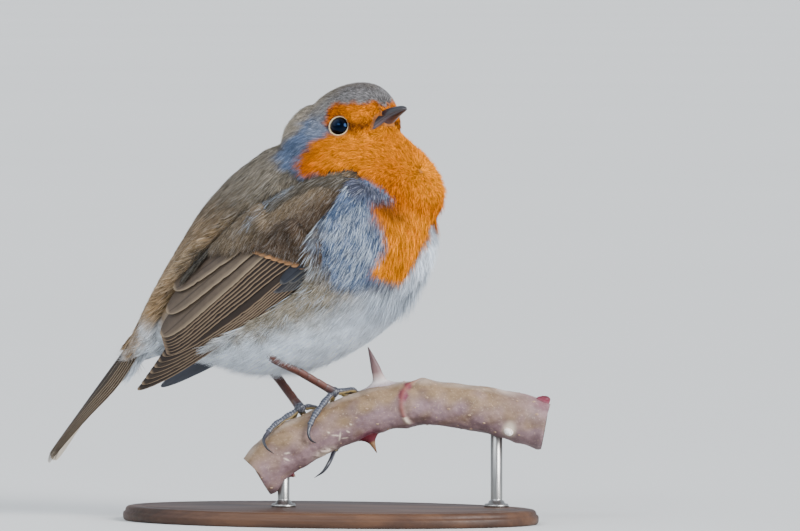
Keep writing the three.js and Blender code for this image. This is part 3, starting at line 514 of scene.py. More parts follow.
# Thorns, buds and the callus knob: each a foot drawn out along the stem and up into a leaning point.
thorn_points, thorn_faces, thorn_tint = [], [], []
for number, (place_along, place_turn, height, foot, lean, kind) in enumerate(THORNS):
    levels = np.concatenate([[-0.14, -0.05], np.linspace(0, 1, 30) ** 1.5])
    count, around = len(levels), 28
    outline = [(-1.2, 1.12), (0, 1), (0.4, 0.7), (1.4, 0.36), (height * 0.5, 0.2), (height, 0.02)]
    share = read_rows(outline, levels * height)[:, 0]
    if kind in ("bud", "callus"):
        share = np.sqrt(np.clip(1 - np.clip(levels, 0, 1) ** 2, 0, 1)) * 0.92 + 0.06
    around_angle = circle(around)
    tilt = lean * np.clip(levels, 0, 1) ** 1.4
    along_at = (
        place_along + tilt[:, None]
        + (share * foot)[:, None] * np.cos(around_angle) * (1.0 if kind == "thorn" else 0.8)
    )
    spread = np.degrees((share * foot * 0.5)[:, None] * np.sin(around_angle) / 6.2)
    body = by_stem(along_at, place_turn + spread, (levels * height)[:, None]).reshape(-1, 3)
    body += (
        (0.07 if height > 3 else 0.1) * ripple(body, 1.2, 30 + number)[:, None] * (body - body.mean(axis=0))
        / max(height, 2)
    )
    tip = by_stem(place_along + lean, place_turn, height * 1.003)
    root_middle = by_stem(place_along, place_turn, height * levels[0])
    first = sum(len(p) for p in thorn_points)
    block = np.concatenate([body, root_middle[None], tip[None]])
    thorn_points.append(block)
    quads, fans = bridged((count, around)), capped((count, around), len(block) - 2, len(block) - 1)
    thorn_faces += [group + first for group in facing_out(block, quads, fans)]
    code = {"thorn": 0.0, "dry": 1.0, "bud": 2.0, "callus": 3.0}[kind]
    level_share = np.concatenate([np.repeat(np.clip(levels, 0, 1), around), [0, 1]])
    thorn_tint.append(np.stack([level_share, np.full(len(block), code), np.zeros(len(block))], axis=1))

thorn_skin, tree, shader = new_material("thorn_skin", 0.5, Specular_IOR_Level=0.4)
level, kind_code, _ = node(tree, "SeparateXYZ", attribute(tree, "tint", "Vector")).outputs
grit = noise(tree, 0.5, 4.0, stretch=(1, 1, 0.35))
shaft = ramp(
    tree, level,
    [(0.0, "a39397"), (0.1, "cfc6c4"), (0.24, "a8948f"), (0.36, "7a5f5e"), (0.7, "5f4648"), (1.0, "4a3436")]
)
dry = ramp(
    tree, level, [(0.0, "5f1c2a"), (0.3, "561c25"), (0.42, "80603f"), (0.75, "6d4e33"), (1.0, "432b1d")]
)
bud = ramp(tree, level, [(0.0, "8a5a63"), (0.4, "7a2a3e"), (1.0, "571826")])
callus = ramp(tree, level, [(0.0, "c8b3a5"), (0.4, "e9e0d6"), (1.0, "f2ece6")])
tone = mixed(tree, remapped(tree, kind_code, 0.4, 0.6, 0, 1), shaft, dry)
tone = mixed(tree, remapped(tree, kind_code, 1.4, 1.6, 0, 1), tone, bud)
tone = mixed(tree, remapped(tree, kind_code, 2.4, 2.6, 0, 1), tone, callus)
tone = mixed(tree, remapped(tree, grit, 0.55, 0.75, 0, 0.6), tone, "5a403a")
feed(shader, tone)
bump(tree, shader, grit, 0.3, 0.1)
thorns = new_piece(
    "perch_thorns", np.concatenate(thorn_points), thorn_faces, thorn_skin,
    attributes={"tint": np.concatenate(thorn_tint)}
)

for piece in (stem_piece, thorns):
    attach(piece, "root")
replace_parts(stem_piece, "perch_stem")

# ---------- Lenticels ----------
# Small corky warts that a rose stem carries all over its bark, each a low oval bump.
# They are strewn over the bark's own surface and turned to lie flat on it.

lenticel_cork, tree, shader = new_material("lenticel_cork", 0.8)
cork = noise(tree, 0.3, 3.0)
feed(shader, ramp(tree, cork, [(0.3, "8a6a52"), (0.7, "b39a80")]))


def strewn(host, name, dot, material, density, apart, size, seed):
    """Copies of a small mesh strewn over a host's surface by a node tree, made one plain mesh."""
    group = bpy.data.node_groups.new(name, "GeometryNodeTree")
    group.interface.new_socket("Geometry", in_out="INPUT", socket_type="NodeSocketGeometry")
    named_inputs = {}
    for label, value in (("Density", density), ("Apart", apart), ("Size", size), ("Seed", seed)):
        kind = "NodeSocketInt" if label == "Seed" else "NodeSocketFloat"
        socket = group.interface.new_socket(label, in_out="INPUT", socket_type=kind)
        socket.default_value = value
        named_inputs[socket.identifier] = value
    group.interface.new_socket("Geometry", in_out="OUTPUT", socket_type="NodeSocketGeometry")
    nodes, links = group.nodes, group.links
    source, result = nodes.new("NodeGroupInput"), nodes.new("NodeGroupOutput")
    spread = nodes.new("GeometryNodeDistributePointsOnFaces")
    spread.distribute_method = "POISSON"
    for given, taken in (
        ("Geometry", "Mesh"), ("Density", "Density Max"), ("Apart", "Distance Min"), ("Seed", "Seed")
    ):
        links.new(source.outputs[given], spread.inputs[taken])
    shape = nodes.new("GeometryNodeObjectInfo")
    shape.inputs["Object"].default_value = dot
    vary = nodes.new("FunctionNodeRandomValue")
    vary.data_type = "FLOAT"
    low, high = [s for s in vary.inputs if s.name in ("Min", "Max") and s.type == "VALUE"][:2]
    low.default_value, high.default_value = 0.5, 1.3
    links.new(source.outputs["Seed"], vary.inputs["Seed"])
    scale = nodes.new("ShaderNodeMath")
    scale.operation = "MULTIPLY"
    links.new([s for s in vary.outputs if s.type == "VALUE"][0], scale.inputs[0])
    links.new(source.outputs["Size"], scale.inputs[1])
    copies = nodes.new("GeometryNodeInstanceOnPoints")
    copied = {"Points": spread.outputs["Points"], "Instance": shape.outputs["Geometry"]}
    copied |= {"Rotation": spread.outputs["Rotation"], "Scale": scale.outputs[0]}
    for label, signal in copied.items():
        links.new(signal, copies.inputs[label])
    real = nodes.new("GeometryNodeRealizeInstances")
    coat = nodes.new("GeometryNodeSetMaterial")
    coat.inputs["Material"].default_value = material
    links.new(copies.outputs[0], real.inputs[0])
    links.new(real.outputs[0], coat.inputs["Geometry"])
    links.new(coat.outputs[0], result.inputs[0])
    modifier = host.modifiers.new(name, "NODES")
    modifier.node_group = group
    for identifier, value in named_inputs.items():
        modifier[identifier] = value
    mesh = bpy.data.meshes.new_from_object(host.evaluated_get(bpy.context.evaluated_depsgraph_get()))
    host.modifiers.remove(modifier)
    mesh.name = name
    made = bpy.data.objects.new(name, mesh)
    bpy.context.scene.collection.objects.link(made)
    return made


LENTICEL = [
    (0.5, 0.28, -0.2), (0.5, 0.28, 0.0), (0.43, 0.2408, 0.1), (0.275, 0.154, 0.17), (0.1, 0.056, 0.2),
]
points, *faces = turned(LENTICEL, 10)
lenticel_shape = new_piece("lenticel_shape", points, faces, lenticel_cork)
lenticels = strewn(
    stem_piece, "perch_lenticels", lenticel_shape, lenticel_cork,
    density=60000.0, apart=0.0035, size=0.8, seed=11
)
bpy.data.objects.remove(lenticel_shape)
for polygon in lenticels.data.polygons:
    polygon.use_smooth = True
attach(lenticels, "root")

# ---------- Legs and feet ----------
# Bare horny legs: large overlapping plates down the front of each shank, small bead-like scales over
# the toes and soft pads beneath. The knees go up into the belly's feathers, and the toes wrap the stem.

# A toe and then its claw run by stations: along the perch, turn round it, lift of its middle over the bark.
LEGS = {
    "right": {
        "ankle": (-12.4, -13.6, 45.4), "joint": (4.2, 82, 2.4), "knee": (1.5, 4.5, 4.5),
        "hind": (
            [(2.4, 74, 1.8), (0.2, 58, 1.25), (-2.2, 40, 1.2), (-4.4, 22, 1.25)],
            [(-5.3, 8, 1.7), (-5.4, -5, 1.7), (-4.5, -18, 0.7)]
        ),
        "inner": (
            [(3.6, 100, 1.6), (2.8, 124, 1.2), (2.3, 148, 1.2), (2.1, 166, 1.25)],
            [(2.0, 178, 1.9), (1.9, 192, 1.9), (1.8, 206, 0.7)]
        ),
        "middle": (
            [(6.6, 92, 1.6), (8.8, 112, 1.2), (8.2, 150, 1.2), (3.6, 204, 1.2), (-2.0, 244, 1.3)],
            [(-3.8, 264, 2.3), (-6.2, 271, 3.7), (-9.2, 271, 4.2)]
        ),
        "outer": (
            [(5.6, 96, 1.5), (6.8, 116, 1.2), (10.2, 136, 1.2), (12.4, 152, 1.25)],
            [(13.2, 164, 1.9), (13.6, 178, 1.9), (13.4, 192, 0.7)]
        ),
    },
    "left": {
        "ankle": (-22.8, 11.6, 43.8), "joint": (-4.6, 86, 1.9), "knee": (1.5, -4.5, 4.5),
        "hind": (
            [(-6.8, 84, 1.4), (-9.4, 78, 1.2), (-11.4, 70, 1.2), (-13.2, 58, 1.25)],
            [(-14.2, 44, 1.9), (-14.6, 26, 1.9), (-14.4, 8, 0.7)]
        ),
        "inner": (
            [(-6.0, 100, 1.4), (-7.4, 124, 1.2), (-8.6, 148, 1.2), (-9.2, 166, 1.25)],
            [(-9.4, 178, 1.9), (-9.4, 192, 1.9), (-9.2, 206, 0.7)]
        ),
        "middle": (
            [(-4.8, 104, 1.4), (-4.6, 132, 1.2), (-4.4, 162, 1.2), (-4.2, 192, 1.25)],
            [(-4.3, 206, 2.1), (-4.5, 222, 2.2), (-4.8, 238, 1.0)]
        ),
        "outer": (
            [(-3.4, 98, 1.4), (-2.2, 112, 1.2), (-1.4, 130, 1.2), (-1.1, 150, 1.25)],
            [(-1.0, 162, 1.9), (-1.0, 176, 1.9), (-1.2, 190, 0.7)]
        ),
    },
}
SHANK = {"fore": 1.15, "side": 0.85, "swell": 1.35}
TOES = ("hind", "inner", "middle", "outer")


def smooth_path(stations, count):
    """Evenly spaced points on a smooth curve through stations, with the unit tangent at each."""
    stations = np.asarray(stations, dtype=float)
    steps = np.linalg.norm(np.diff(stations, axis=0), axis=1)
    rows = np.concatenate([np.concatenate([[0], np.cumsum(steps)])[:, None], stations], axis=1)
    fine = read_rows(rows, np.linspace(0, rows[-1, 0], count * 8))
    length = np.concatenate([[0], np.cumsum(np.linalg.norm(np.diff(fine, axis=0), axis=1))])
    even = np.linspace(0, length[-1], count)
    path = np.stack([np.interp(even, length, fine[:, k]) for k in range(3)], axis=1)
    return path, unit(np.gradient(path, axis=0)), length[-1]


def sleeve(path, tangent, outward, wide, deep, around):
    """Rings along a path: turn 0 is outward, wide is across it. Gives the points and each ring's turns."""
    outward = unit(outward - (outward * tangent).sum(axis=1)[:, None] * tangent)
    across = np.cross(tangent, outward)
    turns = circle(around)
    points = path[:, None] + outward[:, None] * (np.cos(turns) * deep)[..., None]
    return points + across[:, None] * (np.sin(turns) * wide)[..., None], turns


def gathered(parts):
    """Joins (points, quads, triangles, attributes) parts into one set of arrays."""
    shift, points, quads, fans, values = 0, [], [], [], []
    for part_points, part_quads, part_fans, part_values in parts:
        points.append(part_points)
        quads.append(np.asarray(part_quads) + shift)
        fans.append(np.asarray(part_fans) + shift)
        values.append(part_values)
        shift += len(part_points)
    return np.concatenate(points), [np.concatenate(quads), np.concatenate(fans)], np.concatenate(values)


def out_of_stem(points):
    """Unit direction away from the stem's centre line at each point."""
    along = points @ stem_across
    centre = along[:, None] * stem_across + PERCH_OFFSET * stem_away
    centre[:, 2] = read_rows(PERCH, along)[:, 0]
    return unit(points - centre)


def scaled_sleeve(points, path, relief, tone, seam, toe):
    """A sleeve of horny scales: rings raised off their path by a relief, with tone, seam and toe shares."""
    outward = points - path[:, None]
    size = np.maximum(np.linalg.norm(outward, axis=2, keepdims=True), 1e-6)
    flat, quads, fans = closed_sleeve(points + outward / size * relief[..., None])
    values = np.stack([tone, seam, toe], axis=2).reshape(-1, 3)
    return flat, quads, fans, np.concatenate([values, values[:1], values[-1:]])


leg_scale, tree, shader = new_material("leg_scale", 0.42, Specular_IOR_Level=0.5, Coat_Weight=0.15)
# The horn's tone, which on each shank holds a painted highlight stripe, then the seams and the toes' share.
horn_tone_and_highlight, gap_share, toe_share = node(tree, "SeparateXYZ", attribute(tree, "horn", "Vector")).outputs
grime = noise(tree, 0.6, 4.0)
shank_tone = ramp(tree, horn_tone_and_highlight, [(0.0, "40241f"), (0.45, "5c372f"), (0.8, "754f44"), (1.0, "937265")])
toe_tone = ramp(
    tree, horn_tone_and_highlight,
    [(0.0, "a08c5c"), (0.3, "8a764c"), (0.48, "2e2e34"), (0.8, "24262e"), (1.0, "3c404c")]
)
leg_tone = mixed(tree, toe_share, shank_tone, toe_tone)
leg_tone = mixed(
    tree, math_node(tree, "MULTIPLY", gap_share, 0.8), leg_tone, mixed(tree, toe_share, "3a221c", "8e919b")
)
leg_tone = mixed(tree, remapped(tree, grime, 0.5, 0.8, 0, 0.4), leg_tone, "2c2022")
feed(shader, leg_tone)
bump(tree, shader, grime, 0.2, 0.05)

claw_horn, tree, shader = new_material("claw_horn", 0.3, Specular_IOR_Level=0.5, Coat_Weight=0.2)
feed(
    shader,
    ramp(
        tree, attribute(tree, "length"),
        [(0.0, "4c4a52"), (0.25, "34353d"), (0.8, "23242a"), (1.0, "3a3838")]
    )
)
bump(tree, shader, noise(tree, 0.3, 3.0, stretch=(1, 1, 0.3)), 0.15, 0.03)

for side, plan in LEGS.items():
    ankle = np.array(plan["ankle"])
    foot = by_stem(*plan["joint"])
    lean = unit(foot - ankle)
    knee = ankle + plan["knee"]
    path, tangent, _ = smooth_path([knee, ankle, (ankle + foot) / 2, foot, foot + lean * 0.7], 150)
    share = np.linspace(0, 1, len(path))
    ends = SHANK["swell"] - 1
    swell = 1 + ends * hill(share - 0.2, 0.09) + ends * 0.7 * hill(share - 1, 0.07)
    front = np.tile(np.cross(np.cross(lean, (1.0, 0, 0.2)), lean), (len(path), 1))
    points, turns = sleeve(
        path, tangent, front, (SHANK["side"] * swell)[:, None], (SHANK["fore"] * swell)[:, None], 32
    )
    # Plates overlap down the front; the back of the shank is one long plain plate.
    plate = (share * 9.2) % 1
    face = np.clip(np.cos(turns) * 1.6 + 0.35, 0, 1)
    relief = (0.10 * (1 - plate**3))[:, None] * face
    seam = (hill(plate, 0.07) + hill(plate - 1, 0.07))[:, None] * face
    side_seam = hill(np.abs(turns - math.pi) - 1.25, 0.12) * np.ones((len(path), 1))
    relief = relief - 0.07 * np.maximum(seam, 0.7 * side_seam)
    # Lighter down the front and darker behind; the pale stripe down one side is a painted highlight.
    tone = 0.35 + 0.25 * np.cos(turns) + 0.4 * hill(turns - 4.6, 0.5)
    near_toes = np.clip((share - 0.86) / 0.1, 0, 1)[:, None] * np.ones(32)
    tone = tone * (1 - near_toes) + 0.75 * near_toes
    parts = [scaled_sleeve(points, path, relief, tone, np.maximum(seam, side_seam * 0.6), near_toes)]
    # The joint where the toes meet, a rounded knuckle.
    thick = 1.42 * np.sqrt(1 - np.linspace(-0.98, 0.98, 14) ** 2)[:, None]
    middle = foot + lean * np.linspace(-1.35, 1.35, 14)[:, None]
    knuckle, _ = sleeve(middle, np.tile(lean, (14, 1)), front[:14], thick, thick, 24)
    flat, quads, fans = closed_sleeve(knuckle)
    lumps = np.abs(ripple(flat, 0.9, 51))
    flat = flat + (flat - foot) * 0.06 * lumps[:, None]
    values = np.stack([0.6 + 0.3 * lumps, 1 - np.clip(lumps * 3, 0, 1), np.ones(len(flat))], axis=1)
    parts.append((flat, quads, fans, values))
    for number, toe in enumerate(TOES):
        stations, hook = plan[toe]
        along_toe = np.array([foot] + [by_stem(*station) for station in stations])
        count = 96 if toe == "middle" else 72
        path, tangent, length = smooth_path(along_toe, count)
        share = np.linspace(0, 1, count)
        pads = 0.86 + 0.1 * np.cos(share * 6 * math.pi) - 0.16 * share
        reach = (1.05 if toe == "hind" else 0.95) * pads
        outward = out_of_stem(path)
        tip_round = np.sqrt(np.clip((1 - share) / 0.05, 0.03, 1))
        points, turns = sleeve(
            path, tangent, outward, (reach * tip_round)[:, None], (reach * 0.95 * tip_round)[:, None], 30
        )
        # Scutes over the top, each a low step; rows of beads along the sides; soft folds beneath.
        scutes = max(round(length / 0.85), 5)
        step = (share * scutes) % 1
        top = np.clip(np.cos(turns) * 1.7 + 0.1, 0, 1)
        below = np.clip(-np.cos(turns) * 1.5 + 0.1, 0, 1)
        groove = (hill(step, 0.11) + hill(step - 1, 0.11))[:, None]
        beads = np.abs(np.sin(share * scutes * 2 * math.pi))[:, None] * np.abs(np.sin(turns * 5))
        sides = np.clip(1 - top - below, 0, 1)
        relief = (0.10 * (1 - step**3))[:, None] * top - 0.08 * groove * top + 0.07 * beads * sides
        relief = relief + 0.09 * (np.abs(np.sin(share * scutes * 0.5 * math.pi))[:, None] - 0.5) * below
        tone = np.clip(0.5 + 0.5 * np.cos(turns) * 1.3, 0, 1) * np.ones((count, 1))
        seams = np.maximum(groove * top, (1 - beads) ** 2 * sides * 0.55)
        parts.append(scaled_sleeve(points, path, relief, tone, seams, np.ones_like(tone)))
        # The claw grows from the toe's end, a laterally flattened hook with a groove below.
        end = along_toe[-1]
        start = end - tangent[-1] * 0.5
        path, tangent, _ = smooth_path([start] + [by_stem(*station) for station in hook], 40)
        share = np.linspace(0, 1, 40)
        thick = 0.66 * (1 - share**1.5) ** 0.9 + 0.05
        points, turns = sleeve(
            path, tangent, out_of_stem(path), (thick * 0.8)[:, None],
            (thick * (1 + 0.18 * np.sin(share * 3)))[:, None], 20
        )
        notch = hill(turns - math.pi, 0.5) * thick[:, None] * 0.25
        plain = np.zeros_like(notch)
        flat, quads, fans, _ = scaled_sleeve(points, path, -notch, plain, plain, plain)
        shares = np.concatenate([np.repeat(share, 20), [0, 1]])
        claw = new_piece(
            f"claw_{side}_{toe}_horn", flat, [quads, fans], claw_horn, attributes={"length": shares}
        )
        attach(claw, "root")
        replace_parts(claw, f"claw_{side}_{toe}")
    points, faces, values = gathered(parts)
    leg = new_piece(f"shank_and_toes_{side}", points, faces, leg_scale, attributes={"horn": values})
    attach(leg, "root")
    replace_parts(leg, f"leg_{side}")

# ---------- Tail ----------
# Six pairs of tail feathers closed into a narrow stack, the middle pair on top. Each is a stiff shaft
# with a vane on both sides, and all are rooted in the rump under the tail coverts.

TAIL = {"x": -54.3, "z": 52.0, "slope": 53.0, "length": 44.4, "half_spread": 3.3}
# How it is folded, along it: the steepness of its roof, and its roll to the right.
TAIL_FOLD = [
    (0, 0.75, 0.3), (14, 0.72, 0.3), (20, 0.52, 0.3), (26, 0.3, 0.28), (34, 0.18, 0.2), (44, 0.15, 0.08),
]
SHAFT_AT = -0.3
# Across each blade from its open edge (-1) to its covered edge (1), closer together at the shaft.
ACROSS = np.array(
    [-1.0, -0.95, -0.86, -0.68, -0.5, -0.38, -0.33, -0.3, -0.27, -0.22, -0.08, 0.15, 0.42, 0.7, 0.9, 1.0]
)


def on_tail(along, across, depth):
    """Points of the tail: along it from its root, across it, and depth below its roof-shaped upper face."""
    slope = math.radians(TAIL["slope"])
    roof, roll = columns(TAIL_FOLD, along)
    drop = depth + roof * (np.hypot(across, 1.5) - 1.5) - roll * across
    x = TAIL["x"] - along * math.cos(slope) + drop * math.sin(slope)
    z = TAIL["z"] - along * math.sin(slope) - drop * math.cos(slope)
    return np.stack([x, across + 0 * x, z], axis=-1)


def vane(on, root, tip, width, bow, rounding, tuck, sink, seed, camber, fringe, spot=0.0, stations=54):
    """One feather on a curved surface: a thin closed blade with a raised shaft and split edges."""
    draw = np.random.default_rng(seed)
    root, tip = np.asarray(root, dtype=float), np.asarray(tip, dtype=float)
    length = np.linalg.norm(tip - root)
    normal = np.array([-(tip - root)[1], (tip - root)[0]]) / length
    share = np.concatenate(
        [np.linspace(0, 0.9, stations - 14), 0.9 + 0.1 * np.sin(np.linspace(0.12, 1, 14) * math.pi / 2)]
    )
    centre = root + (tip - root) * share[:, None] + normal * (bow * 4 * share * (1 - share))[:, None]
    opening = 0.62 + 0.38 * np.minimum(1, share / 0.4)
    half = width / 2 * opening * np.sqrt(np.clip(1 - (share * 0.999) ** rounding, 0, 1))
    edge = np.abs(ACROSS)[None, :] ** 6
    splits = np.zeros((len(share), len(ACROSS)))
    for at, side in zip(draw.uniform(0.35, 0.97, 4), draw.choice([-1, 1], 4, p=[0.7, 0.3])):
        near = np.clip(1 - np.abs(share - at) * length / 0.55, 0, 1)[:, None]
        splits += near * edge * (np.sign(ACROSS) == side) * draw.uniform(0.03, 0.1)
    ragged = 0.012 * draw.normal(size=(len(share), 1)) * edge
    reach = half[:, None] * ACROSS[None, :] * (1 - splits + ragged)
    place = centre[:, None] + normal * reach[..., None]
    lean = sink + tuck * (half / width)[:, None] * (ACROSS[None, :] + 1)
    ridge = hill(ACROSS - SHAFT_AT, 0.045)[None, :] * (0.16 * (1 - 0.75 * share))[:, None]
    top = lean - camber * (1 - ACROSS[None, :] ** 2) * (half / (width / 2))[:, None] - ridge
    thick = (0.22 - 0.14 * np.abs(ACROSS)[None, :] ** 2) * (1 - 0.4 * share[:, None])
    upper = on(place[..., 0], place[..., 1], top)
    lower = on(place[..., 0], place[..., 1], top + thick + ridge * 1.6)[:, ::-1]
    rings = np.concatenate([upper, lower], axis=1)
    across = np.concatenate([ACROSS, ACROSS[::-1]])
    face = np.concatenate([np.ones(len(ACROSS)), np.zeros(len(ACROSS))])
    along = share * length
    outer = np.clip((-across[None, :] - (1 - fringe * 1.6)) / (fringe * 0.9), 0, 1)
    rim = np.clip((share[:, None] - (1 - 1.0 / length)) * length / 0.9, 0, 1)
    pale = np.maximum(outer, 0.8 * rim) * (0.85 + 0.15 * draw.random())
    # Dark along the shaft, the feather's own colour, and over the covered half, which is painted shade
    # under the next feather.
    dark = np.maximum(
        hill(across[None, :] - SHAFT_AT, 0.06), 0.75 * np.clip((across[None, :] + 0.1) / 0.9, 0, 1)
    )
    dark = dark * (1 - 0.5 * rim)
    tone = draw.uniform(0, 1)
    end_spot = (
        spot * (0.3 + 0.7 * tone) * np.clip((share[:, None] - (1 - 2.2 / length)) * length / 1.1, 0, 1)
        * np.clip(0.75 - across[None, :], 0, 1)
    )
    barb = along[:, None] - np.abs(across[None, :] - SHAFT_AT) * half[:, None] * 1.15
    marks = np.broadcast_arrays(pale, dark, np.clip(end_spot, 0, 1), barb, face[None, :], tone)
    values = np.stack(marks, axis=2).reshape(-1, 6)
    return *closed_sleeve(rings), np.concatenate([values, values[:2]])


def vane_material(name, base, fringe, dark, spot, under):
    """A feather's vane: fine slanting barbs, a glossy dark shaft, painted shade over the covered half, a
    pale fringe and a pale underside.
    """
    made, tree, shader = new_material(name, 0.55, Specular_IOR_Level=0.22)
    pale, deep, tip = node(tree, "SeparateXYZ", attribute(tree, "tint", "Vector")).outputs
    barb, face, tone = node(tree, "SeparateXYZ", attribute(tree, "lie", "Vector")).outputs
    blotch = noise(tree, 2.4, 3.0)
    wave = math_node(tree, "SINE", math_node(tree, "MULTIPLY", barb, 2 * math.pi / 0.42))
    fine = noise(tree, 0.5, 3.0)
    ground = mixed(tree, remapped(tree, blotch, 0.3, 0.7, 0.0, 0.35), base, dark)
    ground = mixed(tree, math_node(tree, "MULTIPLY", tone, 0.1), ground, fringe)
    # Darker shaft and painted shade over the covered half.
    colour = mixed(tree, math_node(tree, "MULTIPLY", deep, 0.72), ground, dark)
    colour = mixed(tree, math_node(tree, "MULTIPLY", pale, 0.9), colour, fringe)
    colour = mixed(tree, tip, colour, spot)
    lines = remapped(
        tree, math_node(tree, "ADD", wave, math_node(tree, "MULTIPLY", fine, 1.2)), -0.6, 1.6, 0.86, 1.1
    )
    colour = mixed(tree, 1.0, colour, lines, "MULTIPLY")
    colour = mixed(tree, math_node(tree, "SUBTRACT", 1.0, face), colour, under)
    feed(shader, colour)
    bump(tree, shader, wave, 0.3, 0.05)
    return made


def mirrored_side(points, faces, side):
    """The same shape on the bird's right (-1) or left (1) side."""
    if side < 0:
        return points, faces
    return points * (1, -1, 1), [np.asarray(group)[:, ::-1] for group in faces]


def vane_piece(name, parts, side, material):
    """The feathers of one tract as one piece, with their tints and the lie of their barbs."""
    points, faces, values = gathered(parts)
    points, faces = mirrored_side(points, faces, side)
    piece = new_piece(
        name, points, faces, material, attributes={"tint": values[:, :3], "lie": values[:, 3:]}
    )
    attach(piece, "root")
    return piece


tail_vane = vane_material("tail_vane", "2d231b", "a0876a", "15100c", "97805f", "c4b9a8")
parts = []
for side in (-1, 1):
    for pair in range(6):
        spread = 0.5 + (TAIL["half_spread"] - 0.5) * pair / 5
        length = TAIL["length"] - 1.4 + 1.6 * math.sin(pair / 5 * math.pi * 0.7)

        def mirrored(along, across, depth, side=side):
            return on_tail(along, -side * across, depth)

        form = {"rounding": 9, "tuck": -0.25, "sink": 0.3 + pair * 0.32, "camber": 0.12, "fringe": 0.03}
        root, tip = (0.5, -(0.4 + spread * 0.45)), (length, -spread)
        parts.append(vane(mirrored, root, tip, 5.3, 0.0, seed=100 + pair + 20 * (side > 0), **form))
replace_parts(vane_piece("tail_feathers", parts, -1, tail_vane), "tail")

# ---------- Wings ----------
# Both wings are folded: long flight feathers lie in tiers like roof tiles, tertials on top, then
# secondaries and primaries, with short coverts over their bases. All grow from the arm and hand beneath.

WING = {"x": 10.0, "z": 80.0, "slope": 36.0, "crown": 4.0, "curve": 16.0, "thickness": 2.9}
WING_OUT = [
    (-14, 17.8), (-6, 23.2), (3, 26.3), (14, 27.4), (26, 26.4), (40, 22.6), (54, 17.6), (66, 13.2),
    (78, 10.2),
]
COVERTS = [
    (-12.0, 8.8, 10.8), (-10.8, 7.2, 12.6), (-8, 6.2, 14.6), (-4, 4.9, 16.6), (0, 3.4, 17.7),
    (4, 0.9, 18.3), (8, -3.4, 18.7), (11, -5.6, 19.0), (13, -5.9, 19.1), (16, -2.4, 19.2), (20, 4.4, 19.2),
    (24, 9.6, 19.1), (28, 13.0, 18.8), (32.5, 15.8, 18.0),
]
ARM = [
    (6.4, 0.1, 16), (10, -3.8, 18), (14, -5.8, 18.2), (22, -6.2, 18), (32, -5.2, 17), (42, -3.0, 14.4),
    (50, -1.0, 10),
]
# Tracts of feathers, lowest tier first: kind, count, first and last root, first and last tip,
# first and last width, and form.
WING_TRACTS = [
    (
        "primary", 7, ((12, 0.2), (10, -4.2)), ((63.4, 3.0), (75.8, 0.2)), (6.4, 5.0),
        {"bow": -0.9, "rounding": 5, "tuck": 1.9, "sink": 0.0, "fringe": 0.08}
    ),
    (
        "secondary", 6, ((14, 7.2), (12, 1.4)), ((60.6, 6.6), (62, 2.8)), (7.6, 6.8),
        {"bow": 1.0, "rounding": 8, "tuck": 2.0, "sink": 0.0, "fringe": 0.075}
    ),
    (
        "tertial", 3, ((16, 13.0), (14, 8.4)), ((50, 15.8), (60.4, 7.6)), (7.6, 8.0),
        {"bow": 0.8, "rounding": 7, "tuck": 2.0, "sink": 0.0, "fringe": 0.12}
    ),
    (
        "primary_covert", 5, ((13, -1.0), (12, -3.0)), ((24.6, -3.4), (20.6, -5.4)), (3.6, 3.0),
        {"bow": 0.0, "rounding": 5, "tuck": 1.2, "sink": -0.3, "fringe": 0.14}
    ),
    (
        "alula", 3, ((9.5, -1.6), (10, -3.6)), ((21.4, -2.6), (17.2, -5.2)), (3.4, 2.6),
        {"bow": 0.0, "rounding": 5, "tuck": 0.8, "sink": -0.62, "fringe": 0.14}
    ),
    (
        "greater_covert", 9, ((10, 9.0), (7.4, 1.0)), ((22.8, 8.8), (13.6, -4.2)), (5.0, 4.2),
        {"bow": 0.0, "rounding": 6, "tuck": 1.3, "sink": -0.6, "fringe": 0.16, "spot": 1.0}
    ),
]
VANE_COLOURS = {
    "primary": ("2a211c", "8a755e", "14100d", "8a755e"),
    "secondary": ("251c17", "85705a", "120e0b", "85705a"),
    "tertial": ("5a4d41", "96836a", "322923", "96836a"),
    "primary_covert": ("2a2a2f", "55524f", "17171b", "5d544b"),
    "alula": ("2a2d36", "5a5853", "15171c", "5a5853"),
    "greater_covert": ("453b30", "554a3c", "2f281f", "b27e4e"),
}


def on_wing(s, t, depth):
    """Points of the right wing: s along it, t across it, depth below its outer face."""
    slope = math.radians(WING["slope"])
    s, t, depth = np.broadcast_arrays(s, t, depth)
    x = WING["x"] - s * math.cos(slope) - t * math.sin(slope)
    z = WING["z"] - s * math.sin(slope) + t * math.cos(slope)
    out = read_rows(WING_OUT, s)[..., 0]
    return np.stack([x, -(out - (t - WING["crown"]) ** 2 / (2 * WING["curve"]) - depth), z], axis=-1)


def wing_layer(outline, count, across, outer, inner, edge):
    """A body that follows the wing's curve inside an outline, between two depths, thinner at its edges."""
    s = np.linspace(outline[0][0], outline[-1][0], count)
    low, high = columns(outline, s)
    ends = np.minimum(1, np.minimum(np.arange(count), np.arange(count)[::-1]) / 5)
    share = np.linspace(0, 1, across)
    fall = 1 - ends[:, None] * (1 - np.abs(2 * share - 1) ** 6)
    t = low[:, None] + (high - low)[:, None] * share
    top = on_wing(s[:, None], t, outer + edge * fall)
    under = on_wing(s[:, None], t, inner - edge * fall)[:, ::-1]
    flat, quads, fans = closed_sleeve(np.concatenate([top, under], axis=1))
    return flat, quads, fans, np.zeros(len(flat))


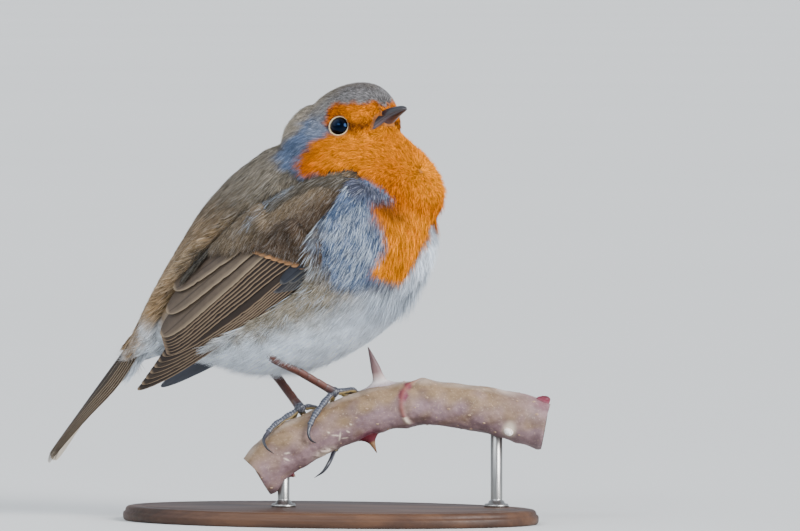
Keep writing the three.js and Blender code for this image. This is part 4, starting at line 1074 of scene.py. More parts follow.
wing_skin, tree, shader = new_material("wing_skin", 0.9)
feed(shader, ramp(tree, noise(tree, 1.5, 3.0), [(0.3, "3a3128"), (0.7, "574a3b")]))
vane_materials = {
    kind: vane_material(f"{kind}_vane", *codes, "52545c") for kind, codes in VANE_COLOURS.items()
}
for side, name in ((-1, "right"), (1, "left")):
    points, faces, _ = gathered(
        [wing_layer(COVERTS, 46, 20, 0.75, 2.3, 0.5), wing_layer(ARM, 30, 14, 1.5, 2.8, 0.3)]
    )
    points, faces = mirrored_side(points, faces, side)
    core = new_piece(f"wing_arm_{name}", points, faces, wing_skin)
    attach(core, "root")
    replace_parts(core, f"wing_{name}")
    for tract, (kind, count, roots, tips, widths, form) in enumerate(WING_TRACTS):
        parts = []
        for i in range(count):
            share = i / (count - 1)
            root, tip, width = (
                np.array(a) * (1 - share) + np.array(b) * share for a, b in (roots, tips, widths)
            )
            camber = 0.16 if width > 4.5 else 0.1
            parts.append(vane(on_wing, root, tip, width, seed=200 + tract * 20 + i, camber=camber, **form))
        vane_piece(f"{kind}s_{name}", parts, side, vane_materials[kind])

# ---------- Skin ----------
# One skin runs from the face to the rump with no seam. It lies under the feathers by their depth, is
# coloured like them so that no gap shows pale, and is hollowed at each side where a folded wing lies.

# Station, back (x, z), belly (x, z), half width, how full the belly is, how far the sides are raised.
TORSO = [
    (0, -56.6, 48.4, -56.2, 42.0, 5.2, 0, 0), (1, -53.4, 54.2, -51.6, 43.2, 7.4, 0, 0),
    (2, -47.2, 65.6, -42.4, 44.9, 12.2, 0, 0), (3, -40.2, 77.0, -30.2, 42.6, 18.0, 0.03, 0),
    (4, -32.6, 87.6, -16.8, 40.4, 22.8, 0.05, 0), (5, -25.2, 95.2, -2.7, 42.6, 25.6, 0.05, 0),
    (6, -19.6, 99.6, 11.8, 49.6, 26.8, 0.04, 0), (7, -15.6, 102.2, 21.6, 58.9, 26.4, 0.02, 0),
    (8, -11.6, 103.6, 27.2, 67.6, 25.0, 0, 0), (9, -7.2, 104.4, 29.2, 76.6, 22.8, 0, 0),
    (10, -2.2, 104.6, 28.4, 84.8, 19.6, 0, 0), (11, 3.6, 102.4, 24.0, 92.0, 14.2, 0, 0),
]
NECK = [
    (0, -10.8, 98.4, 22.6, 79.6, 12.0, 0, 2.4), (1, -13.2, 101.4, 29.8, 82.2, 18.6, 0, 2.4),
    (2, -12.9, 104.4, 32.2, 88.2, 18.4, 0, 1.6), (3, -11.8, 107.8, 30.0, 95.0, 14.2, 0, 0.4),
    (4, -9.3, 110.8, 25.8, 99.8, 9.7, 0, 0), (5, -6.2, 112.8, 22.2, 102.9, 6.7, 0, 0),
    (6, -2.0, 114.0, 17.6, 104.8, 4.5, 0, 0),
]
# Along the head from nape to forehead: top, bottom, half width.
HEAD = [
    (-13.6, 4.6, -5.5, 4.6), (-12, 8.2, -8.6, 7.8), (-8.8, 10.9, -10.8, 10.2), (-4.4, 12.2, -11.6, 11.2),
    (0, 12.3, -11.4, 10.5), (3.6, 11.7, -10.6, 9.7), (6.6, 10.5, -9.4, 8.6), (8.6, 8.9, -8.2, 7.2),
    (10.0, 7.1, -6.8, 5.6), (11.0, 4.9, -5.4, 4.0), (11.7, 2.2, -3.8, 2.2),
]
# How far the skin lies under the solids' surface.
COAT_DEPTH = {"torso": 1.7, "neck": 1.6, "head": 0.9}
SKIN_GRID = 0.6
HEAD_TURN, HEAD_RAISE = math.radians(-28), math.radians(-23)
head_turned = np.array(Matrix.Rotation(HEAD_TURN, 3, "Z") @ Matrix.Rotation(HEAD_RAISE, 3, "Y"))
HEAD_AT = np.array([8.4, 0.0, 106.8])
EYE = {"x": 1.0, "z": -0.35, "depth": 8.1, "radius": 3.1, "opening": 2.5, "forward": math.radians(30)}
# Hollow under a folded wing: along it, low and high edge across it.
WING_BED = [
    (-13, 8.6, 11.4), (-8, 6.6, 14.4), (0, 3.4, 17.6), (8, -4, 19), (16, -7, 19.8), (30, -6.4, 19.4),
    (42, -4.6, 18.4), (52, -2.6, 16.6), (62, -1, 12), (70, 1, 6),
]
# Bill, from its wide root in the face to its tip: ridge, mouth line, keel, half width.
BILL = [
    (5.0, 0.7, -3.9, -4.7, 4.0), (7.6, 0.95, -3.1, -4.35, 3.5), (9.8, 0.8, -2.4, -3.8, 2.6),
    (12, 0.5, -2.0, -3.3, 2.05), (14.2, 0.1, -1.95, -2.9, 1.62), (16.2, -0.4, -2.0, -2.65, 1.18),
    (17.6, -0.95, -2.05, -2.5, 0.78), (18.35, -1.55, -2.15, -2.4, 0.34),
]


def from_head(points):
    """Points of the head's own frame as points of the bird."""
    return np.asarray(points) @ head_turned.T + HEAD_AT


def to_head(points):
    """Points of the bird in the head's own frame."""
    return (np.asarray(points) - HEAD_AT) @ head_turned


def body_form(rows, grow, count, around):
    """Rings of the torso or neck from its table, grown outwards or inwards."""
    key = np.linspace(rows[0][0], rows[-1][0], count)
    values = read_rows(rows, key)
    back, belly = values[:, [0, 1]], values[:, [2, 3]]
    half, full, raised = values[:, 4], values[:, 5], values[:, 6]
    middle = (back + belly) / 2
    up = back - middle
    reach = np.linalg.norm(up, axis=1)
    up /= reach[:, None]
    onward = unit(np.gradient(middle, axis=0))
    middle[0] -= onward[0] * grow
    middle[-1] += onward[-1] * grow
    turn = circle(around)
    side = (half + grow)[:, None] * np.cos(turn) * (1 - full[:, None] * np.sin(turn))
    rise = (reach + grow)[:, None] * np.sin(turn)
    lift = raised[:, None] * np.abs(np.cos(turn)) ** 1.3
    return np.stack(
        [middle[:, :1] + up[:, :1] * rise, side, middle[:, 1:] + up[:, 1:] * rise + lift], axis=2
    )


def head_form(grow, count, around):
    """Rings of the head in its own frame, from nape to forehead."""
    x = np.linspace(HEAD[0][0], HEAD[-1][0], count)
    top, bottom, half = columns(HEAD, x)
    turn = circle(around)
    full = [np.sign(v) * np.abs(v) ** 0.87 for v in (np.cos(turn), np.sin(turn))]
    x[0] -= grow
    x[-1] += grow
    across = (half + grow)[:, None] * full[0]
    height = ((top + bottom) / 2)[:, None] + ((top - bottom) / 2 + grow)[:, None] * full[1]
    return np.stack([x[:, None] + 0 * across, across, height], axis=2)


def eye_axis(side):
    """The way that an eye looks, in the head's frame."""
    return unit(np.array([math.sin(EYE["forward"]), side * math.cos(EYE["forward"]), 0.06]))


def eye_centre(side):
    """The middle of an eyeball, in the head's frame."""
    return np.array([EYE["x"], side * EYE["depth"], EYE["z"]])


def by_eye(points, side):
    """The way out to points from an eye's axis, their height along it and their distance from it."""
    offset = points - eye_centre(side)
    height = offset @ eye_axis(side)
    away = offset - height[:, None] * eye_axis(side)
    return away, height, np.linalg.norm(away, axis=1)


def softly(value, width):
    """0 to 1 as a distance passes from -width to width."""
    share = np.clip(value / (2 * width) + 0.5, 0, 1)
    return share * share * (3 - 2 * share)


def by_wing(points):
    """Where points at a bird's side lie along, across and below the outer face of its folded wing."""
    slope = math.radians(WING["slope"])
    dx, dz = points[:, 0] - WING["x"], points[:, 2] - WING["z"]
    s = -dx * math.cos(slope) - dz * math.sin(slope)
    t = -dx * math.sin(slope) + dz * math.cos(slope)
    outer = read_rows(WING_OUT, s)[..., 0] - (t - WING["crown"]) ** 2 / (2 * WING["curve"])
    return s, t, outer - np.abs(points[:, 1])


def gape_line(x):
    """Height of the feathers' edge over the bill's root, from the corner of the mouth up to the ridge."""
    return np.minimum(-3.6 + (x - 7.1) * 1.35, 3.0)


def pressed_in(points):
    """Skin points moved in under the wings and round the eyes."""
    s, t, depth = by_wing(points)
    low, high = columns(WING_BED, s)
    inside = softly(t - low, 0.8) * softly(high - t, 0.8) * softly(s + 12.5, 1.0) * softly(69 - s, 2.0)
    move = np.clip(WING["thickness"] + 0.7 - depth, 0, 6) * inside * (depth > -6)
    moved = points.copy()
    moved[:, 1] -= np.sign(points[:, 1]) * move
    local = to_head(moved)
    x, y, z = local.T
    taper = read_rows(BILL, x)[..., 3] - 0.35
    dent = (
        np.clip(np.abs(y) - taper, 0, 5.6) * softly(x - 6.9, 0.7) * softly(z + 5.2, 0.7)
        * softly(gape_line(x) - z, 0.7)
    )
    local[:, 1] -= np.sign(y) * dent
    for side in (-1, 1):
        _, height, reach = by_eye(local, side)
        dish = 6.5 - np.sqrt(np.clip(25 - reach**2, 0, None)) - 0.25
        dish = np.where(reach < 2.2, dish - 1.3, dish)
        down = np.clip(height - dish, 0, 3) * (reach < 4.9) * (height > 0)
        local -= down[:, None] * eye_axis(side)
    return from_head(local)


shells = [body_form(TORSO, -COAT_DEPTH["torso"], 60, 72), body_form(NECK, -COAT_DEPTH["neck"], 36, 60)]
shells.append(from_head(head_form(-COAT_DEPTH["head"], 44, 60)))
points, faces, _ = gathered(
    [(*closed_sleeve(rings), np.zeros(rings.shape[0] * rings.shape[1] + 2)) for rings in shells]
)
skin_form, tree, shader = new_material("skin_and_down", 0.9)
rough_skin = new_piece("rough_skin", points, faces, skin_form)
for kind, settings in (
    ("REMESH", {"mode": "VOXEL", "voxel_size": SKIN_GRID * MM}),
    ("SMOOTH", {"factor": 0.5, "iterations": 8})
):
    step = rough_skin.modifiers.new(kind.title(), kind)
    for key, value in settings.items():
        setattr(step, key, value)
melded = bpy.data.meshes.new_from_object(rough_skin.evaluated_get(bpy.context.evaluated_depsgraph_get()))
bpy.data.objects.remove(rough_skin)
skin_points = np.empty(len(melded.vertices) * 3, dtype=np.float32)
melded.vertices.foreach_get("co", skin_points)
skin_points = skin_points.reshape(-1, 3).astype(float) / MM
skin_faces = np.empty(len(melded.loops), dtype=np.int32)
melded.loops.foreach_get("vertex_index", skin_faces)
skin_faces = skin_faces.reshape(-1, 4)


def relaxed(points, faces, times):
    """The points after moving each towards the middle of its neighbours a number of times."""
    ends = np.concatenate([faces[:, [k, (k + 1) % 4]] for k in range(4)])
    count = np.bincount(ends[:, 0], minlength=len(points))[:, None]
    for _ in range(times):
        total = np.stack(
            [np.bincount(ends[:, 0], points[ends[:, 1], k], len(points)) for k in range(3)], axis=1
        )
        points = points * 0.4 + total / count * 0.6
    return points


def outward_normals(points, faces):
    """Unit normals at the points of a surface of quads."""
    corner = points[faces]
    crossed = np.cross(corner[:, 2] - corner[:, 0], corner[:, 3] - corner[:, 1])
    total = np.zeros_like(points)
    for k in range(4):
        np.add.at(total, faces[:, k], crossed)
    return total / (np.linalg.norm(total, axis=1)[:, None] + 1e-12)


# The creases where head, neck and body meet are filled, and nothing is taken off elsewhere.
before = outward_normals(skin_points, skin_faces)
crease = ((relaxed(skin_points, skin_faces, 60) - skin_points) * before).sum(axis=1)
skin_points += before * relaxed(np.clip(crease, 0, None)[:, None] * [1, 0, 0], skin_faces, 6)[:, :1] * 1.3
skin_points = pressed_in(skin_points)
skin_normals = outward_normals(skin_points, skin_faces)

# The line that the plumage follows: from the bill's root through the head and neck, then down the back.
SPINE = np.concatenate([
    from_head([(10.5, 0, -2), (5, 0, -1.5), (0, 0, -1)]),
    [
        (5.4, 0.6, 101.0), (5.8, 0, 94.5), (4.6, 0, 88.0), (-3.0, 0, 77.5), (-14.0, 0, 68.9),
        (-24.7, 0, 64.0), (-35.2, 0, 59.8), (-44.8, 0, 55.2), (-52.5, 0, 48.7), (-60, 0, 41.0)
    ],
])
leg_lengths = np.concatenate([[0], np.cumsum(np.linalg.norm(np.diff(SPINE, axis=0), axis=1))])
spine_keys = np.linspace(0, leg_lengths[-1], 160)
spine_line = read_rows(np.column_stack([leg_lengths, SPINE]), spine_keys)
spine_ways = unit(np.gradient(spine_line, axis=0))


def by_spine(points):
    """Share along the plumage's line, turn round it and the way that it runs, at many points."""
    shares, turns, ways = [], [], []
    for block in np.array_split(points, max(1, len(points) // 20000)):
        gap = ((block[:, None] - spine_line[None]) ** 2).sum(axis=2)
        weight = np.exp(-(gap - gap.min(axis=1, keepdims=True)) / (2 * 7.0**2))
        weight /= weight.sum(axis=1, keepdims=True)
        way = unit(weight @ spine_ways)
        out = block - weight @ spine_line
        back = np.cross(np.array([0, 1.0, 0]), way)
        turns.append(np.arctan2(out[:, 1], (out * back).sum(axis=1)))
        shares.append(weight @ (spine_keys / spine_keys[-1]))
        ways.append(way)
    return np.concatenate(shares), np.concatenate(turns), np.concatenate(ways)


def untwisted(points):
    """Points with the turn of the head taken out, so that both cheeks lie alike."""
    turn = -HEAD_TURN * softly(points[:, 2] - 97, 7)
    dx, y = points[:, 0] - HEAD_AT[0], points[:, 1]
    x = HEAD_AT[0] + dx * np.cos(turn) - y * np.sin(turn)
    return np.column_stack([x, dx * np.sin(turn) + y * np.cos(turn), points[:, 2]])


def inside_outline(x, z, outline):
    """Signed distance from a closed outline, positive inside."""
    outline = np.asarray(outline, dtype=float)
    nearest, crossed = np.full(len(x), 1e9), np.zeros(len(x), dtype=bool)
    for (ax, az), (bx, bz) in zip(outline, np.roll(outline, -1, axis=0)):
        ex, ez = bx - ax, bz - az
        share = np.clip(((x - ax) * ex + (z - az) * ez) / (ex * ex + ez * ez), 0, 1)
        nearest = np.minimum(nearest, np.hypot(x - ax - share * ex, z - az - share * ez))
        with np.errstate(divide="ignore", invalid="ignore"):
            at = ax + (z - az) * ex / (ez if ez else 1e-9)
        crossed ^= ((az > z) != (bz > z)) & (x < at)
    return np.where(crossed, nearest, -nearest)


# Plumage zones as outlines seen from the side, with the head turned straight: place ahead, height.
ORANGE_BIB = [
    (40, 114.2), (15.9, 113.5), (14.4, 113.5), (11.0, 113.6), (7.9, 112.6), (6.7, 110.6), (6.5, 108.3),
    (7.8, 105.6), (8.7, 103.8), (8.6, 102.4), (7.0, 100.8), (5.0, 99.6), (3.2, 98.0), (4.0, 96.4),
    (9.3, 95.2), (14.1, 94.7), (18.8, 94.0), (20.9, 92.5), (21.5, 90.8), (20.6, 89.4), (18.0, 89.0),
    (19.1, 85.8), (20.8, 81.8), (22.0, 77.8), (20.4, 74.7), (18.7, 71.8), (18.6, 69.9), (24, 68.4),
    (40, 68.8),
]
# The white of the belly rises between the lobes of the bib: distance from the middle, height.
BIB_FRONT = [(0, 81.8), (2.6, 80.6), (6.0, 76.9), (7.6, 73.2), (9.0, 69.9), (10.8, 65.0), (14, 50)]
GREY_EDGING = [
    (40, 122), (13.5, 118.2), (8.8, 117.4), (4.8, 115.0), (1.5, 112.0), (0.7, 108.8), (0.4, 105.6),
    (-2.6, 103.4), (-3.6, 99.8), (0, 96), (5, 91), (6, 84), (4.8, 77), (7.6, 69.4), (12.3, 66.7),
    (18.2, 66.8), (23, 64), (40, 64),
]
WHITE_BELLY = [
    (-29.9, 48.0), (-20.4, 51.2), (-7.4, 53.6), (3.8, 56.9), (11.8, 61.0), (18, 65.0), (22.4, 66.6),
    (23.3, 66.6), (25.2, 69.5), (26.8, 73.0), (28.1, 76.7), (29.1, 80.1), (45, 82), (45, 20), (-62, 20),
    (-59, 38.5), (-56.6, 41.5), (-51.5, 48), (-47.2, 53.3), (-45, 53.5), (-43.5, 51), (-41, 47),
]
PLUMAGE = {
    "olive": "463f34", "crown": "594f44", "nape": "8f8472", "rump": "967b59", "flank": "8d8370",
    "white": "eaf3fc", "grey": "4f607c",
    "orange": "aa5400", "orange_deep": "9e4c00", "orange_pale_and_highlight": "dc8500", "rim": "7c7c7c", "lore": "5c2f12",
    "speck_and_shadow": "3a2a20",
}


def hue_of(code):
    """A six-figure colour code as an array of linear red, green and blue."""
    return np.array(paint(code)[:3])


def marked(points):
    """The colour of the plumage at many points of the body, and how orange each is."""
    straight = untwisted(points)
    x, z = straight[:, 0], straight[:, 2]
    wander = ripple(points, 9, 61) * 0.7 + ripple(points, 3.2, 62) * 0.55
    codes = {key: hue_of(code) for key, code in PLUMAGE.items()}
    colour = np.repeat(codes["olive"][None], len(points), axis=0)

    def lay(code, share):
        nonlocal colour
        colour = colour + (codes[code] - colour) * np.clip(share, 0, 1)[:, None]

    lay("crown", softly(z - 106, 4) * 0.95)
    lay("nape", softly(6 - x, 5) * softly(z - 103, 5) * 0.8)
    # Dark specks on the crown, the feathers' own marks.
    lay("speck_and_shadow", softly(ripple(points, 1.5, 63) - 0.9, 0.5) * softly(z - 110, 3) * 0.35)
    # The top of the mantle is made paler with the nape's colour: painted light from the sky above.
    lay("nape", softly(z - 90, 7) * softly(-2 - x, 5) * 0.7)
    lay("rump", softly(83 - z + wander * 2, 17) * softly(-x - 18, 12) * 0.9)
    lay("flank", softly(72 - z + wander * 2, 7) * softly(x + 34, 10) * 0.9)
    lobe = np.where(straight[:, 1] > 0, np.clip(straight[:, 1] - 9, 0, 99) * 0.9, -straight[:, 1])
    front = (read_rows(BIB_FRONT, lobe)[..., 0] - z) * 0.8 + wander * 0.4
    white = np.maximum(inside_outline(x, z, WHITE_BELLY) + wander * 1.3, np.where(x > 18, front, -9))
    lay("white", softly(white, 4.2))
    grey = inside_outline(x, z, GREY_EDGING) + wander
    lay(
        "grey",
        softly(grey, 2.2) * softly(z - 60, 5) * (1 - softly(white, 4.2)) * (1 - 0.85 * softly(z - 110, 3))
    )
    # A soft grey veil over the white low on the breast's front: painted shade where the breast turns under.
    lay(
        "grey",
        softly(z - 56 + wander * 2, 7) * softly(70 - z, 4) * softly(x - 8, 8) * softly(30 - x, 4)
            * softly(white, 4.2) * 0.38
    )
    lay("flank", softly(ripple(points, 4, 64) - 0.9, 0.6) * softly(grey, 2.0) * softly(90 - z, 5) * 0.35)
    bib = np.minimum(inside_outline(x, z, ORANGE_BIB) + wander * 0.75, np.where(x > 18, -front, 9))
    under_ruff = np.abs(z - (92.6 - np.clip(x - 14.5, 0, 20) ** 1.25 * 0.46)) + wander * 0.3
    share = softly(bib, 0.9)
    lay("rim", softly(1.5 - np.abs(bib + 1.6), 1.2) * softly(z - 104, 4) * 0.4)
    lay("orange", share)
    lay("orange_deep", share * softly(2.4 - bib, 2.2) * softly(z - 92, 4) * 0.6)
    lay("orange_deep", share * softly(z - 108, 3) * 0.5)
    lay("orange_pale_and_highlight", share * softly(9 - np.hypot(x - 17, (z - 103) * 0.9), 5) * 0.5)
    # Paler orange on the ruff's front is a painted highlight; the lower lobes are made paler too.
    lay("orange_pale_and_highlight", share * np.maximum(softly(x - 26, 4) * softly(z - 88, 4), softly(86 - z, 4)) * 0.8)
    # A painted shadow in the crease under the ruff's lower edge.
    lay("speck_and_shadow", softly(1.7 - under_ruff, 0.9) * softly(x - 12.5, 1.5) * softly(24.5 - x, 2) * 0.55)
    local = to_head(points)
    local[:, 1] = np.abs(local[:, 1])
    strip = np.clip((local[:, 0] - 3.6) / 5.2, 0, 1)
    lore = np.abs(local[:, 2] - (-0.9 - 1.2 * strip)) + wander * 0.35
    lay(
        "lore",
        softly(1.15 - lore, 0.7) * softly(local[:, 0] - 3.4, 0.8) * softly(10.6 - local[:, 0], 0.8)
            * (0.65 + 0.35 * softly(ripple(points, 1.3, 65), 0.6))
    )
    return colour, share


skin_colour, _ = marked(skin_points)
tint = attribute(tree, "plumage", "Color")
down = noise(tree, 1.2, 4.0)
feed(shader, mixed(tree, remapped(tree, down, 0.3, 0.7, 0.25, 0.6), tint, "2b2722"))
bump(tree, shader, down, 0.5, 0.2)
skin = new_piece("skin", skin_points, [skin_faces], skin_form, attributes={"plumage": skin_colour})
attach(skin, "root")
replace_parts(skin, "torso", "neck", "head")

# ---------- Plumage ----------
# Short body feathers cover the skin like overlapping shingles that point to the tail. Each one is a
# small tuft of loose barbs: shortest on the face, longest on the belly and over the tail's root.

# Place along the plumage's line, 0 at the bill and 1 at the tail, then length, height, barb width and
# tufts per square millimetre.
COAT = [
    (0.0, 1.0, 0.5, 0.122, 13.2), (0.05, 1.6, 0.75, 0.143, 11.7), (0.13, 2.3, 1.05, 0.174, 9.3),
    (0.22, 3.2, 1.3, 0.194, 7.5), (0.3, 4.1, 1.6, 0.194, 6.0), (0.5, 4.8, 1.8, 0.205, 5.3),
    (0.75, 5.2, 2.0, 0.225, 4.9), (0.9, 5.2, 1.9, 0.225, 4.9), (1.0, 4.8, 1.8, 0.235, 5.3),
]
# Barbs of a tuft, the degrees between them, the radius of their droop, and where each bends along it.
BARBS, FAN, ROUND_OVER = 5, 7.0, 25.0
RUN = np.array([0.0, 0.45, 1.0])
# The part of the map for baking that one tuft takes.
MAP_PATCH = 0.003


def scattered(points, faces, density, seed):
    """Spreads random places over quads. Gives a reader of values there from values at the points."""
    draw = np.random.default_rng(seed)
    corner = points[faces]
    area = np.linalg.norm(np.cross(corner[:, 2] - corner[:, 0], corner[:, 3] - corner[:, 1]), axis=1) / 2
    count = np.floor(area * density + draw.random(len(faces))).astype(int)
    face = np.repeat(np.arange(len(faces)), count)
    a, b = draw.random(len(face)), draw.random(len(face))
    blend = np.stack([(1 - a) * (1 - b), a * (1 - b), a * b, (1 - a) * b], axis=1)
    return lambda values: np.einsum("nk,nk...->n...", blend, values[faces[face]])


def tuft_mesh(roots, out, way, length, height, width, colour, unwrap, rise, seed):
    """Barbs of many tufts as arrays: points, quads, triangles, normals, attributes and unwrapped places."""
    draw = np.random.default_rng(seed)
    count = len(roots)
    way = way - out * (way * out).sum(axis=1, keepdims=True)
    way /= np.linalg.norm(way, axis=1)[:, None] + 1e-9
    side = np.cross(way, out)
    swing = np.radians(draw.normal(0, 7, count))
    way, side = (
        way * np.cos(swing)[:, None] + side * np.sin(swing)[:, None],
        side * np.cos(swing)[:, None] - way * np.sin(swing)[:, None]
    )
    place = np.arange(BARBS) - (BARBS - 1) / 2
    tone = draw.random(count)
    barb_tone = draw.random((count, BARBS))
    reach = length[:, None] * (1 - 0.07 * np.abs(place)) * draw.uniform(0.78, 1.12, (count, BARBS))
    lean = np.radians(place * FAN + draw.normal(0, 4, (count, BARBS)))
    start = place * width[:, None] * 0.8 + draw.normal(0, 0.05, (count, BARBS))
    top = height[:, None] * (1 - 0.1 * np.abs(place)) * draw.uniform(0.72, 1.08, (count, BARBS))
    along = reach[..., None] * RUN
    across = start[..., None] + np.tan(lean)[..., None] * along
    up = (
        top[..., None] * (1 - (1 - RUN) ** 2) - along**2 / (2 * ROUND_OVER) - 0.2 * (RUN == 0)
        + rise[:, None, None] * RUN**2 * along
    )
    across = across * (1 - 0.25 * RUN**2)
    line = (
        roots[:, None, None] + way[:, None, None] * along[..., None]
        + side[:, None, None] * across[..., None] + out[:, None, None] * up[..., None]
    )
    half = width[:, None, None, None] / 2 * side[:, None, None] * np.array([1.0, 0.85])[None, None, :, None]
    tilt = (
        draw.normal(0, 0.25, (count, BARBS))[..., None, None] * out[:, None, None]
        * width[:, None, None, None] / 2
    )
    points = np.empty((count, BARBS, 5, 3))
    points[:, :, [0, 2]] = line[:, :, :2] - half - tilt
    points[:, :, [1, 3]] = line[:, :, :2] + half + tilt
    points[:, :, 4] = line[:, :, 2]
    first = np.arange(count * BARBS)[:, None] * 5
    quads, fans = first + np.array([0, 1, 3, 2]), first + np.array([2, 3, 4])
    edge = np.array([-1.0, 1, -1, 1, 0])
    bend = 0.22 * edge + 0.16 * place[None, :, None] + draw.normal(0, 0.16, (count, BARBS, 1))
    steep = np.array([0.25, 0.25, 0.1, 0.1, 0.0])[None, None, :, None]
    normals = out[:, None, None] + side[:, None, None] * bend[..., None] - way[:, None, None] * steep
    normals = unit(normals)
    tip = np.broadcast_to(np.array([0, 0, 0.45, 0.45, 1.0]), (count, BARBS, 5))
    strand = np.stack(np.broadcast_arrays(tip, tone[:, None, None], barb_tone[..., None]), axis=-1)
    hue = np.broadcast_to(colour[:, None, None], (count, BARBS, 5, 3))
    patch_u = (place[None, :, None] / BARBS + edge[None, None] * 0.08) * MAP_PATCH
    patch_v = (tip - 0.5) * MAP_PATCH
    places = np.stack(
        [unwrap[:, 0, None, None] + patch_u + 0 * tip, unwrap[:, 1, None, None] + patch_v], axis=-1
    )
    return [v.reshape(-1, v.shape[-1]) for v in (points, quads, fans, normals, strand, hue, places)]


def unwrapped(turn, share):
    """Where a tuft's root lies on an unwrap of the skin: round the plumage's line, and along it."""
    return np.column_stack([0.004 + 0.992 * (turn / (2 * math.pi) + 0.5), 0.004 + 0.992 * share])


def coat_piece(name, arrays, material):
    """A piece of plumage with its soft normals and its map for baking."""
    points, quads, fans, normals, strand, hue, places = arrays
    piece = new_piece(name, points, [quads, fans], material, attributes={"strand": strand, "plumage": hue})
    corners = np.concatenate([quads.ravel(), fans.ravel()])
    piece.data.uv_layers.new(name="OFBake").data.foreach_set(
        "uv", places[corners].astype(np.float32).ravel()
    )
    piece.data.normals_split_custom_set_from_vertices(normals)
    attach(piece, "root")


def barb_material(name, roughness, dark, sheen, gloss, pale):
    """Loose barbs: dark at the root, soft and paler at the tip, with tufts and barbs of uneven tone."""
    made, tree, shader = new_material(
        name, roughness, Specular_IOR_Level=gloss, Sheen_Weight=sheen, Sheen_Roughness=0.6
    )
    tip, tone, barb = node(tree, "SeparateXYZ", attribute(tree, "strand", "Vector")).outputs
    hue = attribute(tree, "plumage", "Color")
    shade = math_node(tree, "MULTIPLY_ADD", tone, 0.8, 0.6)
    shade = math_node(
        tree, "MULTIPLY", shade,
        math_node(tree, "MULTIPLY_ADD", math_node(tree, "POWER", barb, 1.5), 1.3, 0.55)
    )
    mottle = remapped(tree, noise(tree, 2.2, 4.0), 0.3, 0.7, 0.86, 1.12)
    shade = math_node(tree, "MULTIPLY", shade, mottle)
    shade = math_node(tree, "MULTIPLY", shade, remapped(tree, tip, 0.0, 0.7, dark, 1.12))
    white = node(tree, "SeparateColor", hue).outputs[2]
    shade = math_node(tree, "POWER", shade, math_node(tree, "MULTIPLY_ADD", white, -0.7, 1.0))
    colour = mixed(tree, 1.0, hue, shade, "MULTIPLY")
    bright = remapped(tree, barb, 0.72, 1.0, 0.0, 0.6)
    bright = math_node(tree, "MULTIPLY", bright, tip)
    feed(shader, mixed(tree, bright, colour, mixed(tree, 0.4, hue, pale)))
    return made


body_barb = barb_material("body_barb", 0.78, 0.34, 0.06, 0.1, "e9ecee")
orange_barb = barb_material("orange_barb", 0.78, 0.42, 0.0, 0.04, "f09400")

face_share, _, _ = by_spine(skin_points[skin_faces].mean(axis=1))
density = read_rows(COAT, face_share)[..., 3]
read_at = scattered(skin_points, skin_faces, density, 70)
roots, out = read_at(skin_points), unit(read_at(skin_normals))
share, turn, way = by_spine(roots)
length, height, width, _ = columns(COAT, share)
# Left bare: under the wings, over the eyes, at the bill's root, and where the tail leaves the body.
s, t, depth = by_wing(roots)
low, high = columns(WING_BED, s)
hidden = (t > low + 1.4) & (t < high - 1.4) & (s > -11.0) & (s < 64) & (depth > 2.0)
local = to_head(roots)
near_eye = np.full(len(roots), 99.0)
for side in (-1, 1):
    away, level, reach = by_eye(local, side)
    near = np.where(level > 0, reach, 99.0)
    away = away @ head_turned.T
    away /= np.linalg.norm(away, axis=1)[:, None] + 1e-9
    push = np.clip(1 - (near - 3.0) / 4.0, 0, 1) * (near < 8)
    way = way + away * (0.9 * push)[:, None]
    near_eye = np.minimum(near_eye, near)
length *= 0.4 + 0.6 * softly(near_eye - 4.6, 1.6)
height *= 0.35 + 0.65 * softly(near_eye - 4.2, 1.4)
width *= 0.65 + 0.35 * softly(near_eye - 4.6, 1.6)
ridge, _, keel, half = columns(BILL, local[:, 0])
by_bill = (np.abs(local[:, 1]) < half + 0.9) & (local[:, 2] < gape_line(local[:, 0]) + 0.3)
bill_root = (
    (local[:, 0] > 6.9) & (by_bill | (np.abs(local[:, 1]) < half + 0.2)) & (local[:, 2] < ridge - 0.2)
    & (local[:, 2] > keel + 0.1)
)
bill_root |= (
    (local[:, 0] > 8.6) & (np.abs(local[:, 1]) < half + 0.5) & (local[:, 2] < keel + 0.2)
    & (local[:, 2] > keel - 0.4)
)
keep = ~hidden & (near_eye > 3.05) & ~bill_root & ~((share > 0.96) & ((out * way).sum(axis=1) > 0.62))
colour, orange = marked(roots)
at_bill = (
    softly(2.4 - np.hypot(np.clip(8 - local[:, 0], 0, 99), np.clip(np.abs(local[:, 1]) - half, 0, 99)), 1.2)
    * softly(2.5 - np.abs(local[:, 2] + 1.8), 1)
)
length *= 1 - 0.5 * at_bill
width *= 1 - 0.3 * at_bill
nape = softly(-local[:, 0] - 1, 9) * softly(local[:, 2] + 8, 8)
length *= 1 + 0.5 * nape
height *= 1 + 0.4 * nape
tail_end = softly(share - 0.93, 0.03)
length *= 1 + tail_end * (softly(np.abs(turn) - 1.5, 0.4) * 1.35 - 0.5)
clump = ripple(np.column_stack([turn * 16, share * 26, 0 * share]), 1.1, 71)
colour *= (1 + np.clip(clump, -1.2, 1.2) * (0.1 + 0.14 * softly(share - 0.2, 0.1)))[:, None]
bib = inside_outline(*untwisted(roots)[:, [0, 2]].T, ORANGE_BIB)
ruff = softly(2.2 - np.abs(bib - 1.2), 1.2) * softly(106 - roots[:, 2], 3) * softly(roots[:, 2] - 84, 4)
length *= 1 + 0.6 * ruff
height *= 1 + 0.35 * ruff
stray = np.random.default_rng(72).random(len(roots))
breast_side = (
    softly(-1.0 - bib, 1.5) * softly(roots[:, 0] - 2, 3) * softly(roots[:, 2] - 60, 6) * (share > 0.2)
)
length *= 1 + 0.45 * breast_side
streaming = (stray < 0.12) * breast_side * (1 - orange)
